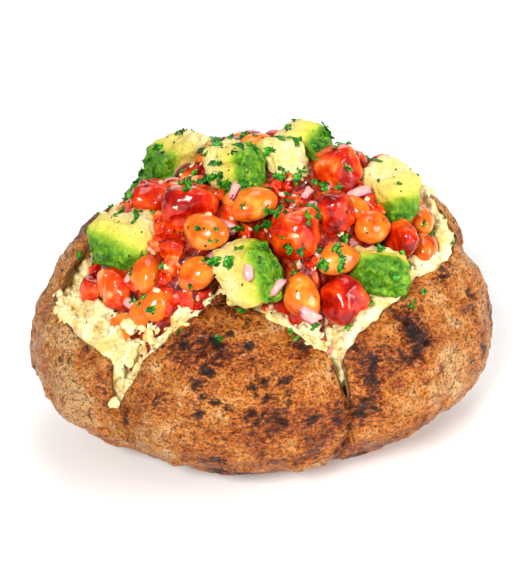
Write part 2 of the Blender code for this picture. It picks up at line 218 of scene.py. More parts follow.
class BakedSkinSettings(bpy.types.PropertyGroup):
    """The potato's baked skin."""

    thickness: length_setting("Thickness", 0.8, "Thickness of the skin at its cut edge")
    relief: length_setting("Relief", 1.25, "Height of the skin's lumps and wrinkles")
    crease: length_setting("Crease", 1.1, "Depth of the crease that runs down from each slit")
    eyes: count_setting("Eyes", 40, "Dark eyes besides the gathered ones")
    scorched: colour_setting("Scorched", "#3E1204", "Scorched grains")
    browned: colour_setting("Browned", "#8A3006", "Dark brown of the crust")
    baked: colour_setting("Baked", "#D4620A", "Main orange-brown of the skin")
    golden: colour_setting("Golden", "#F08C26", "Paler, golden places")
    dry: colour_setting("Dry", "#FFC682", "Dry flakes of the loose outer layer")


class FleshSettings(bpy.types.PropertyGroup):
    """The fluffed flesh."""

    fluff: length_setting("Fluff", 3.2, "Height of the forked-up lumps")
    crumbs: count_setting("Crumbs", 760, "Loose crumbs of flesh")
    crumb_size: length_setting("Crumb size", 2.6, "Width of a middling crumb")
    colour: colour_setting("Flesh", "#F8E8B2", "Pale yellow of the flesh")
    # Painted shade: this deeper yellow is laid in patches over the flesh colour
    shade: colour_setting("Shade", "#E0B454", "Deeper yellow of the wetter flesh")


class HeapSettings(bpy.types.PropertyGroup):
    """Sauce and the pieces in it."""

    depth: length_setting("Sauce depth", 7.0, "How far the sauce lies below the tops of the pieces")
    lumps: length_setting("Lumps", 1.6, "Height of the pulp in the sauce")
    small_dice: count_setting("Small tomato", 190, "Small pieces of tomato between the large ones")
    small_beans: count_setting("Sunken beans", 16, "Beans that lie deep between the pieces")
    onion: count_setting("Onion", 40, "Onion pieces besides the gathered ones")
    minced: count_setting("Minced onion", 520, "Finely chopped pale pieces")


class GarnishSettings(bpy.types.PropertyGroup):
    """Herbs and pepper."""

    parsley: count_setting("Parsley", 290, "Chopped parsley flakes")
    parsley_size: length_setting("Parsley size", 3.6, "Width of a middling flake")
    pepper: count_setting("Pepper", 420, "Grains of cracked black pepper")
    pepper_size: length_setting("Pepper size", 0.55, "Width of a middling grain")


class StageSettings(bpy.types.PropertyGroup):
    """Floor, light and camera."""

    azimuth: angle_setting("Azimuth", -10, "Camera's turn round the potato")
    elevation: angle_setting("Elevation", 30, "Camera's angle above the floor")
    distance: length_setting("Distance", 516, "Camera to the middle of the view")
    aim_height: length_setting("Aim height", 40.5, "Height of the middle of the view")
    lens: bpy.props.FloatProperty(
        name="Lens", description="Focal length in millimetres", default=120.0, min=1
    )
    floor: colour_setting("Floor", "#F3F2F0", "Plain pale floor")


# ---------------------------------------------------------------- shape functions


def around(keys, turn):
    """A smooth closed curve through (turn, value) keys that never overshoots them."""
    turn = (turn - keys[0][0]) % 360 + keys[0][0]
    spots = [(keys[-1][0] - 360, keys[-1][1]), *keys, (keys[0][0] + 360, keys[0][1])]
    spots.append((keys[1][0] + 360, keys[1][1]))
    at = next(i for i in range(1, len(spots) - 2) if turn <= spots[i + 1][0])
    width = spots[at + 1][0] - spots[at][0]
    share = (turn - spots[at][0]) / width

    def slope(i):
        before = (spots[i][1] - spots[i - 1][1]) / (spots[i][0] - spots[i - 1][0])
        after = (spots[i + 1][1] - spots[i][1]) / (spots[i + 1][0] - spots[i][0])
        return 2 * before * after / (before + after) if before * after > 0 else 0.0

    low, high = spots[at][1], spots[at + 1][1]
    leave, arrive = slope(at) * width, slope(at + 1) * width
    return (
        low * (2 * share**3 - 3 * share**2 + 1)
        + leave * (share**3 - 2 * share**2 + share)
        + high * (3 * share**2 - 2 * share**3)
        + arrive * (share**3 - share**2)
    )


def turn_between(a, b):
    return abs((a - b + 180) % 360 - 180)


def smooth_step(low, high, value):
    share = min(1.0, max(0.0, (value - low) / (high - low)))
    return share * share * (3 - 2 * share)


class Profile:
    """The potato's outline at one plan angle."""

    def __init__(self, turn):
        self.turn = turn
        self.dome_height = around(DOME_HEIGHT, turn) * MM
        self.dome_power = 2 / around(DOME_SQUARENESS, turn)
        self.under_power = 2 / around(UNDER_SQUARENESS, turn)
        nearest = min(turn_between(turn, slit) for slit in SLITS)
        self.pinch = PINCH * math.exp(-((nearest / PINCH_SPREAD) ** 2))
        angle = math.radians(turn)
        self.across = HALF_LENGTH * math.cos(angle)
        self.back = HALF_WIDTH * math.sin(angle)

    def raw(self, rise):
        """A point of the skin's outer face, as the potato was shaped."""
        tilt = math.radians(abs(rise))
        if rise >= 0:
            power = self.dome_power
            height = self.dome_height * math.sin(tilt) ** power
        else:
            power = self.under_power
            height = -WIDEST_LEVEL * (math.sin(tilt) / math.sin(math.radians(-BASE_RISE))) ** power
        lowness = min(1.0, (rise - BASE_RISE) / -BASE_RISE)
        reach = math.cos(tilt) ** power * (1 - self.pinch * lowness)
        point = Vector((self.across * reach, self.back * reach, height))
        swell = 1 + LUMP / HALF_WIDTH * noise.noise(point / LUMP_PITCH) * lowness
        return Vector((point.x * swell, point.y * swell, WIDEST_LEVEL + height))

    def point(self, rise):
        """The same point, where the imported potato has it."""
        return settle_in_box(self.raw(rise))


def box_fit():
    """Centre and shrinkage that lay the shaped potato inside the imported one's box, with room for relief."""
    outline = [Profile(turn).raw(rise) for turn in range(0, 360, 3) for rise in range(-20, 21, 4)]
    low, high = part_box("potato")
    fit = []
    for axis in (0, 1):
        least = min(point[axis] for point in outline)
        most = max(point[axis] for point in outline)
        shrink = (high[axis] - low[axis] - 2 * RELIEF_ROOM) / (most - least)
        fit.append(((least + most) / 2, (low[axis] + high[axis]) / 2, shrink))
    return fit


BOX_FIT = box_fit()


def settle_in_box(point):
    x, y = (
        (value - middle) * shrink + centre for value, (middle, centre, shrink) in zip(point[:2], BOX_FIT)
    )
    return Vector((x, y, point.z))


def cut_edge(turn):
    """Rise of the cut edge, a little ragged."""
    angle = math.radians(turn)
    circle = Vector((math.cos(angle), math.sin(angle), 0))
    ragged = 1.1 * noise.noise(circle * 9) + 0.8 * noise.noise(circle * 23)
    steady = min(turn_between(turn, slit) for slit in SLITS)
    return around(CUT_EDGE, turn) + ragged * smooth_step(1, 6, steady)


def surface_normal(turn, rise):
    """Outward normal of the skin at a point."""
    aside = Profile(turn + 0.4).point(rise) - Profile(turn - 0.4).point(rise)
    profile = Profile(turn)
    up = profile.point(rise + 0.6) - profile.point(rise - 0.6)
    return aside.cross(up).normalized()


def columns(plain_step, slit_step, slit_reach=5.5):
    """Plan angles of a mesh round the potato, closer together at the slits."""
    turns = [step * plain_step for step in range(int(360 / plain_step))]
    turns = [turn for turn in turns if min(turn_between(turn, slit) for slit in SLITS) > slit_reach]
    for slit in SLITS:
        count = int(slit_reach / slit_step)
        turns += [(slit + step * slit_step) % 360 for step in range(-count, count + 1)]
    return sorted(turns)


def flesh_height(x, y):
    out = (x / FLESH_HALF[0]) ** 2 + (y / FLESH_HALF[1]) ** 2
    return FLESH_FOOT + FLESH_HEIGHT * (1 - out)


def heap_height(x, y):
    """Outline of the topping: where the tops of its pieces lie."""
    out = ((x - HEAP_CENTRE[0]) / HEAP_HALF[0]) ** 2 + ((y - HEAP_CENTRE[1]) / HEAP_HALF[1]) ** 2
    return HEAP_FOOT + HEAP_HEIGHT * max(0.0, 1 - out) ** HEAP_FULLNESS


def heap_normal(x, y):
    step = 0.5 * MM
    along = heap_height(x + step, y) - heap_height(x - step, y)
    back = heap_height(x, y + step) - heap_height(x, y - step)
    return Vector((-along, -back, 2 * step)).normalized()


def crumble(point, pitch):
    """Rounded crumbs with sharp valleys between them, from about -0.4 to 0.6."""
    return 0.6 - noise.voronoi(point / pitch)[0][0]


# ---------------------------------------------------------------- meshes


def ring_faces(counts):
    """Faces between one ring of corners and the next; a ring of one corner closes the surface."""
    faces = []
    start = 0
    for count, following_count in zip(counts, counts[1:]):
        after = start + count
        for i in range(max(count, following_count)):
            j = (i + 1) % max(count, following_count)
            if following_count == 1:
                faces.append((start + i, start + j, after))
            elif count == 1:
                faces.append((start, after + j, after + i))
            else:
                faces.append((start + i, start + j, after + j, after + i))
        start = after
    return faces


def mesh_of_rings(rings):
    """Corners and faces of a closed surface through rings of corners, its first and last a single corner."""
    return [corner for ring in rings for corner in ring], ring_faces([len(ring) for ring in rings])


def add_piece(name, corners, faces, material, slot, shares=None):
    """Makes a piece from corners and faces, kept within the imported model's box.

    shares gives a value per corner for each named attribute.
    """
    low, high = CAD_BOX
    kept = [Vector(min(max(corner[axis], low[axis]), high[axis]) for axis in range(3)) for corner in corners]
    mesh = bpy.data.meshes.new(name)
    mesh.from_pydata(kept, [], faces)
    mesh.shade_smooth()
    mesh.materials.append(material)
    for title, values in (shares or {}).items():
        attribute = mesh.attributes.new(title, "FLOAT", "POINT")
        attribute.data.foreach_set("value", values)
    mesh.validate()
    piece = bpy.data.objects.new(name, mesh)
    bpy.context.scene.collection.objects.link(piece)
    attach(piece, BODY)
    return piece


def moved_along_normals(corners, faces, height):
    """Corners pushed out along the surface's normals by height(corner, index)."""
    mesh = bpy.data.meshes.new("relief")
    mesh.from_pydata(corners, [], faces)
    normals = [Vector(normal.vector) for normal in mesh.vertex_normals]
    bpy.data.meshes.remove(mesh)
    return [corner + normal * height(corner, i) for i, (corner, normal) in enumerate(zip(corners, normals))]


class Lumps:
    """Many small bodies gathered into one mesh."""

    def __init__(self):
        self.corners = []
        self.faces = []
        self.shares = []

    def add(self, place, turned, corners, faces, share=0.0):
        """Adds a body's corners, turned and then moved to its place."""
        start = len(self.corners)
        self.corners += [place + turned @ corner for corner in corners]
        self.faces += [tuple(start + corner for corner in face) for face in faces]
        self.shares += [share] * len(corners) if isinstance(share, float) else share


def ball(subdivisions):
    bm = bmesh.new()
    bmesh.ops.create_icosphere(bm, subdivisions=subdivisions, radius=0.5)
    corners = [vert.co.copy() for vert in bm.verts]
    faces = [tuple(vert.index for vert in face.verts) for face in bm.faces]
    bm.free()
    return corners, faces


def lump(shape, size, seed_point, roughness):
    """An irregular bit: the ball pushed in and out, then stretched to size."""
    corners, faces = shape
    shaped = []
    for corner in corners:
        dents = noise.noise(corner * 2.3 + seed_point) + 0.3 * noise.noise(corner * 5 - seed_point)
        push = 1 + roughness * dents
        shaped.append(Vector(corner[axis] * push * size[axis] for axis in range(3)))
    return shaped, faces


def random_seed(chance):
    """A place to draw a bit's noise from, so that no two bits are alike."""
    return Vector(chance.uniform(0, SEED_RANGE) for _ in range(3))


def lay_on(normal, turn):
    """Rotation that lays a thing's Z along a surface normal, turned round it."""
    return normal.to_track_quat("Z", "Y").to_matrix() @ Matrix.Rotation(turn, 3, "Z")


def lay_lump(made, place, normal, shape, size, roughness, chance):
    """Adds an irregular bit to the lumps, lying on a surface at any turn."""
    corners, faces = lump(shape, size, random_seed(chance), roughness)
    made.add(place, lay_on(normal, chance.uniform(0, FULL_TURN)), corners, faces)


def node_shape(node, plain_levels, levels, growth, roundness):
    """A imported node's mesh, smoothed to a finer one and grown a little to make up for that.

    The plain levels split faces without rounding them, so that more of the edges' crispness stays. Roundness
    draws the corners in towards a ball: 0 leaves them, 1 makes a ball.
    """
    bm = bmesh.new()
    bm.from_mesh(frame["nodes"][node].data)
    bmesh.ops.remove_doubles(bm, verts=bm.verts, dist=0.01 * MM)
    bmesh.ops.dissolve_limit(bm, angle_limit=math.radians(1), verts=bm.verts, edges=bm.edges)
    rough = bpy.data.meshes.new("rough")
    bm.to_mesh(rough)
    bm.free()
    carrier = bpy.data.objects.new("rough", rough)
    bpy.context.scene.collection.objects.link(carrier)
    for kind, count in (("SIMPLE", plain_levels), ("CATMULL_CLARK", levels)):
        if count:
            refiner = carrier.modifiers.new(kind, "SUBSURF")
            refiner.subdivision_type = kind
            refiner.levels = refiner.render_levels = count
    graph = bpy.context.evaluated_depsgraph_get()
    fine = bpy.data.meshes.new_from_object(carrier.evaluated_get(graph))
    corners = [vert.co.copy() for vert in fine.vertices]
    faces = [tuple(polygon.vertices) for polygon in fine.polygons]
    bpy.data.objects.remove(carrier)
    bpy.data.meshes.remove(rough)
    bpy.data.meshes.remove(fine)
    centre = sum(corners, Vector()) / len(corners)
    reach = sum((corner - centre).length for corner in corners) / len(corners)
    rounded = []
    for corner in corners:
        out = corner - centre
        rounded.append(centre + out * growth * (reach / out.length) ** roundness)
    return rounded, faces, centre


def trees_of(*starts):
    """Search trees of the pieces whose names start with one of these."""
    packed = frame["nodes"]
    pieces = [obj for obj in bpy.data.objects if obj.name.startswith(starts) and obj.name not in packed]
    graph = bpy.context.evaluated_depsgraph_get()
    return [BVHTree.FromObject(piece, graph) for piece in pieces]


def first_hit(trees, start, way):
    """Where a straight line first meets one of the pieces: place, normal and the piece's number, or Nones."""
    best = (None, None, None)
    nearest = math.inf
    for number, tree in enumerate(trees):
        place, normal, _, distance = tree.ray_cast(start, way)
        if place is not None and distance < nearest:
            best = (place, normal, number)
            nearest = distance
    return best


def node_names(kind):
    return sorted(name for name in frame["nodes"] if name.startswith(kind))


# ---------------------------------------------------------------- materials


def new_material(name):
    """A material with a fresh node tree, and its shader."""
    material = bpy.data.materials.new(name)
    material.use_nodes = True
    tree = material.node_tree
    return material, tree, tree.nodes["Principled BSDF"]


def connect(node, inputs):
    """Sets a node's inputs, each to a value or to another node's output."""
    for title, value in inputs.items():
        if isinstance(value, bpy.types.NodeSocket):
            node.id_data.links.new(value, node.inputs[title])
        else:
            node.inputs[title].default_value = value


def add_node(tree, kind, inputs=None, **settings):
    """Adds a node. settings are its own properties; inputs maps an input to a value or another's output."""
    made = tree.nodes.new(kind)
    for title, value in settings.items():
        setattr(made, title, value)
    connect(made, inputs or {})
    return made


def opaque(colour):
    """A hex colour, or a colour setting that is linear already, with the alpha that inputs take."""
    parts = linear(colour) if isinstance(colour, str) else colour
    return (*parts[:3], 1.0)


def per_metre(millimetres):
    """Scale of a pattern whose features are this many millimetres apart."""
    return 1 / (millimetres * MM)


def set_stops(colours, stops):
    """Gives a colour ramp its stops, each a position and a colour, from low to high."""
    elements = colours.color_ramp.elements
    elements.remove(elements[1])
    for number, (position, colour) in enumerate(stops):
        stop = elements[0] if number == 0 else elements.new(position)
        stop.position = position
        stop.color = opaque(colour)


def laid_over(tree, below, above, where, low, high, most=1.0):
    """Lays one colour over another as the value where passes from low to high, and gives the mixed colour."""
    share = add_node(
        tree, "ShaderNodeMapRange", {"Value": where, "From Min": low, "From Max": high, "To Max": most}
    )
    mixed = add_node(
        tree, "ShaderNodeMix", {"Factor": share.outputs["Result"], 6: below, 7: above}, data_type="RGBA"
    )
    return mixed.outputs[2]


def seasoned(tree, place, colour, speck, pitch, low, high, most):
    """Specks of seasoning over a colour, pitch millimetres apart."""
    cells = add_node(
        tree, "ShaderNodeTexVoronoi", {"Vector": place, "Scale": per_metre(pitch), "Randomness": 1.0}
    )
    return laid_over(tree, colour, opaque(speck), cells.outputs["Distance"], low, high, most)


def skin_material(settings):
    """Russet potato skin, oven-baked: a dry papery layer over brown, scorched round the eyes.

    It gives the eye a blotchy orange-brown with pale dry flakes, near-black spots and a faint oily gleam.
    The valleys between its wrinkles are darkened with painted shade.
    """
    material, tree, shader = new_material("baked potato skin")
    place = add_node(tree, "ShaderNodeTexCoord").outputs["Object"]
    eye = add_node(tree, "ShaderNodeAttribute", attribute_name="eye").outputs["Fac"]
    inner = add_node(tree, "ShaderNodeAttribute", attribute_name="inner").outputs["Fac"]
    sideways = add_node(
        tree, "ShaderNodeVectorMath", {0: place, 1: (0.6, 0.6, 1.5)}, operation="MULTIPLY"
    ).outputs[0]
    # Browned patches 12 mm apart. Wrinkles of the papery layer, 2.6 mm apart and drawn out sideways. Grit of
    # the dry layer, whose real grain of 0.3 mm is drawn 0.7 mm apart to show. Scorched grains 1.2 mm apart
    patches, wrinkle, grit, grain = (
        add_node(
            tree,
            "ShaderNodeTexNoise",
            {"Vector": at, "Scale": per_metre(pitch), "Detail": fine, "Roughness": rough, "Distortion": bent},
        ).outputs["Fac"]
        for at, pitch, fine, rough, bent in (
            (place, 12, 6.0, 0.68, 0.25),
            (sideways, 2.6, 7.0, 0.75, 0.0),
            (place, 0.7, 2.0, 0.7, 0.0),
            (sideways, 1.2, 5.0, 0.85, 0.0),
        )
    )
    # The tops of the flaps brown most, the ends of the potato least
    split_place = add_node(tree, "ShaderNodeSeparateXYZ", {0: place})
    upper = add_node(
        tree,
        "ShaderNodeMapRange",
        {"Value": split_place.outputs["Z"], "From Min": 24 * MM, "From Max": 56 * MM, "To Max": -0.055},
    )
    toward_ends = add_node(tree, "ShaderNodeMath", {0: split_place.outputs["X"]}, operation="ABSOLUTE")
    ends = add_node(
        tree,
        "ShaderNodeMapRange",
        {"Value": toward_ends.outputs[0], "From Min": 20 * MM, "From Max": 50 * MM, "To Max": 0.085},
    ).outputs["Result"]
    lighter = add_node(tree, "ShaderNodeMath", {0: patches, 1: ends})
    tone = add_node(tree, "ShaderNodeMath", {0: lighter.outputs[0], 1: upper.outputs["Result"]}).outputs[0]
    colours = add_node(tree, "ShaderNodeValToRGB", {"Fac": tone})
    browning = (settings.browned, settings.baked, settings.golden, settings.dry)
    set_stops(colours, zip((0.33, 0.43, 0.56, 0.68), browning))
    looseness = add_node(
        tree, "ShaderNodeMath", {0: ends, 1: 0.8, 2: wrinkle}, operation="MULTIPLY_ADD"
    ).outputs[0]
    # Scorching is thickest where the skin browned and round the eyes
    rawness = add_node(tree, "ShaderNodeMath", {0: tone, 1: 0.9, 2: -0.45}, operation="MULTIPLY_ADD")
    browned_grain = add_node(tree, "ShaderNodeMath", {0: grain, 1: rawness.outputs[0]}, operation="SUBTRACT")
    scorch = add_node(
        tree, "ShaderNodeMath", {0: eye, 1: 0.22, 2: browned_grain.outputs[0]}, operation="MULTIPLY_ADD"
    ).outputs[0]
    colour = colours.outputs["Color"]
    for above, where, low, high, most in (
        (settings.dry, looseness, 0.56, 0.66, 0.45),  # loose flakes
        (settings.browned, wrinkle, 0.45, 0.38, 0.8),  # painted shade in the valleys between the wrinkles
        ("#702806", grit, 0.54, 0.6, 0.85),  # dark grit
        (settings.dry, grit, 0.45, 0.38, 0.35),  # pale dry grit, partly painted glints
        (settings.scorched, scorch, 0.54, 0.61, 0.9),  # scorched grains
        ("#1E0804", scorch, 0.66, 0.74, 0.95),  # blackened middles of the eyes
    ):
        colour = laid_over(tree, colour, opaque(above), where, low, high, most)
    # Across the cut edge the skin gives way to clinging flesh, golden further down
    cut = add_node(tree, "ShaderNodeValToRGB", {"Fac": inner})
    cut_colours = ("#6B3213", "#A25F20", "#F6E2A4", "#F0CF80", "#E8AE58", "#C98A38")
    set_stops(cut, zip((0.0, 0.13, 0.26, 0.42, 0.6, 1.0), cut_colours))
    colour = laid_over(tree, colour, cut.outputs["Color"], inner, 0.01, 0.05)
    gleam = add_node(
        tree,
        "ShaderNodeMapRange",
        {"Value": wrinkle, "From Min": 0.35, "From Max": 0.65, "To Min": 0.2, "To Max": 0.42},
    )
    relief = {}
    for pattern, depth in ((grit, 1.3 * MM), (wrinkle, 4.5 * MM), (patches, 9 * MM)):
        bump = add_node(
            tree, "ShaderNodeBump", {"Height": pattern, "Strength": 1.0, "Distance": depth, **relief}
        )
        relief = {"Normal": bump.outputs["Normal"]}
    look = {
        "Base Color": colour,
        "Roughness": gleam.outputs["Result"],
        "IOR": 1.45,
        "Specular IOR Level": 0.3,
        "Coat Weight": 0.3,
        "Coat Roughness": 0.28,
        "Coat Normal": relief["Normal"],
    }
    connect(shader, {**look, **relief})
    return material


def flesh_material(name, settings):
    """Baked potato flesh, forked up: floury, with patches of deeper yellow that are painted shade.

    It gives the eye a soft pale yellow that glows a little, with small brown seasoning specks.
    """
    material, tree, shader = new_material(name)
    place = add_node(tree, "ShaderNodeTexCoord").outputs["Object"]
    # Painted shade in patches 5 mm apart, and a mealy grain 0.9 mm apart
    shade_patches, grain = (
        add_node(
            tree,
            "ShaderNodeTexNoise",
            {"Vector": place, "Scale": per_metre(pitch), "Detail": detail, "Roughness": rough},
        ).outputs["Fac"]
        for pitch, detail, rough in ((5, 6.0, 0.65), (0.9, 4.0, 0.7))
    )
    colour = laid_over(tree, opaque(settings.colour), opaque(settings.shade), shade_patches, 0.42, 0.68)
    bump = add_node(tree, "ShaderNodeBump", {"Height": grain, "Strength": 0.8, "Distance": 0.9 * MM})
    look = {
        "Base Color": seasoned(tree, place, colour, "#8A6428", 2.6, 0.13, 0.07, 0.75),
        "Normal": bump.outputs["Normal"],
        "Roughness": 0.62,
        "Specular IOR Level": 0.35,
        "Subsurface Weight": 0.35,
        "Subsurface Radius": (1.0, 0.75, 0.35),
        "Subsurface Scale": 1.6 * MM,
    }
    connect(shader, look)
    return material


def wet_material(name, stops, pitch, grain_height, glow, roughness=0.2, detail=5.0):
    """A wet cooked or cut food: colours run through stops by a soft pattern of the pitch given in mm.

    The coat is the film of juice on it, which gives crisp highlights.
    """
    material, tree, shader = new_material(name)
    place = add_node(tree, "ShaderNodeTexCoord").outputs["Object"]
    pattern, grain = (
        add_node(
            tree,
            "ShaderNodeTexNoise",
            {"Vector": place, "Scale": per_metre(size), "Detail": fine, "Roughness": 0.6, "Distortion": bent},
        ).outputs["Fac"]
        for size, fine, bent in ((pitch, detail, 0.4), (pitch / 3, 3.0, 0.0))
    )
    colours = add_node(tree, "ShaderNodeValToRGB", {"Fac": pattern})
    set_stops(colours, stops)
    bump = add_node(tree, "ShaderNodeBump", {"Height": grain, "Strength": 0.5, "Distance": grain_height})
    look = {
        "Base Color": colours.outputs["Color"],
        "Normal": bump.outputs["Normal"],
        "Roughness": roughness,
        "IOR": 1.42,
        "Specular IOR Level": 0.3,
        "Coat Weight": 0.35,
        "Coat Roughness": 0.07,
        "Subsurface Weight": glow,
        "Subsurface Radius": (1.0, 0.4, 0.2),
        "Subsurface Scale": 1.5 * MM,
    }
    connect(shader, look)
    return material


def avocado_material():
    """Ripe avocado, cut in dice: buttery flesh that turns from cream to leaf green beside its skin.

    It gives the eye pale yellow cut faces, a bright green band and a dark rough green outer side.
    """
    material, tree, shader = new_material("cut avocado")
    place = add_node(tree, "ShaderNodeTexCoord").outputs["Object"]
    green = add_node(tree, "ShaderNodeAttribute", attribute_name="green").outputs["Fac"]
    # Mottling 4 mm apart, and the leathery grain of the outer side, 1.9 mm apart
    patchy, leather = (
        add_node(
            tree,
            "ShaderNodeTexNoise",
            {"Vector": place, "Scale": per_metre(size), "Detail": fine, "Roughness": 0.7, "Distortion": bent},
        ).outputs["Fac"]
        for size, fine, bent in ((4, 6.0, 0.0), (1.9, 5.0, 0.6))
    )
    uneven = add_node(tree, "ShaderNodeMath", {0: patchy, 1: 0.34, 2: green}, operation="MULTIPLY_ADD")
    colours = add_node(tree, "ShaderNodeValToRGB", {"Fac": uneven.outputs[0]})
    flesh_to_skin = ("#EADCA4", "#DAC668", "#D2C052", "#B4BE36", "#80A61A", "#3A7408", "#2E5A10")
    set_stops(colours, zip((0.12, 0.21, 0.48, 0.62, 0.74, 0.88, 1.0), flesh_to_skin))
    # Outer side's green, with painted shade in the valleys of its grain and painted light on its ridges
    leather_shaded_green = add_node(tree, "ShaderNodeValToRGB", {"Fac": leather})
    set_stops(leather_shaded_green, ((0.34, "#184202"), (0.5, "#4A8406"), (0.7, "#98BC2A")))
    colour = laid_over(
        tree, colours.outputs["Color"], leather_shaded_green.outputs["Color"], green, 0.42, 0.72, 0.85
    )
    bump = add_node(tree, "ShaderNodeBump", {"Height": leather, "Strength": 0.8, "Distance": 1.2 * MM})
    look = {
        "Base Color": seasoned(tree, place, colour, "#6B5A1E", 1.6, 0.15, 0.08, 0.8),
        "Normal": bump.outputs["Normal"],
        "Roughness": 0.32,
        "IOR": 1.42,
        "Specular IOR Level": 0.3,
        "Subsurface Weight": 0.2,
        "Subsurface Radius": (0.8, 1.0, 0.3),
        "Subsurface Scale": 1.2 * MM,
    }
    connect(shader, look)
    return material


def shaded_material(name, attribute, stops, look):
    """A material whose colour runs through stops by a value that the mesh carries."""
    material, tree, shader = new_material(name)
    value = add_node(tree, "ShaderNodeAttribute", attribute_name=attribute).outputs["Fac"]
    colours = add_node(tree, "ShaderNodeValToRGB", {"Fac": value})
    set_stops(colours, stops)
    connect(shader, {"Base Color": colours.outputs["Color"], **look})
    return material


def herb_material():
    """Fresh parsley, chopped: thin waxy leaf. It gives the eye sharp bright green flecks."""
    # The shade value runs from dark green painted shade to pale green painted light
    stops = ((0.0, "#083204"), (0.5, "#1A6A08"), (1.0, "#4EA41E"))
    look = {"Roughness": 0.35, "Specular IOR Level": 0.4, "IOR": 1.42}
    return shaded_material("chopped parsley", "shade", stops, look)


def onion_material():
    """Red onion, chopped: crisp translucent layers. It gives the eye pinkish white with purple rims."""
    stops = ((0.0, "#E8B8A4"), (0.45, "#C4787C"), (1.0, "#7A1E40"))
    look = {
        "Roughness": 0.22,
        "IOR": 1.38,
        "Subsurface Weight": 0.2,
        "Subsurface Radius": (1.0, 0.6, 0.6),
        "Subsurface Scale": 1.5 * MM,
    }
    return shaded_material("chopped red onion", "rim", stops, look)


def plain_material(name, colour, look):
    """A material of one colour."""
    material, _, shader = new_material(name)
    connect(shader, {"Base Color": opaque(colour), **look})
    return material


# ---------------------------------------------------------------- operators


def skin_thickness(thickness, turn):
    """Skin and clinging flesh together at the cut edge."""
    return thickness + around(CLINGING_FLESH, turn) * MM


def gathered(chance, gatherings):
    """Random places, thickest in the middle of each gathering."""
    for first, second, spread, count in gatherings:
        for _ in range(count):
            yield chance.gauss(first, spread / 2), chance.gauss(second, spread / 2)


def eye_places(count):
    """Centres and widths of the potato's eyes."""
    chance = random.Random("eyes")
    eyes = [(turn, rise, chance.triangular(2.5, 5.5, 3.5)) for turn, rise in gathered(chance, EYE_GATHERINGS)]
    for _ in range(count):
        turn = chance.uniform(0, 360)
        eyes.append((turn, chance.uniform(-40, around(CUT_EDGE, turn) - 3), chance.triangular(1.6, 5, 2.2)))
    return [(Profile(turn).point(rise), width * MM) for turn, rise, width in eyes]


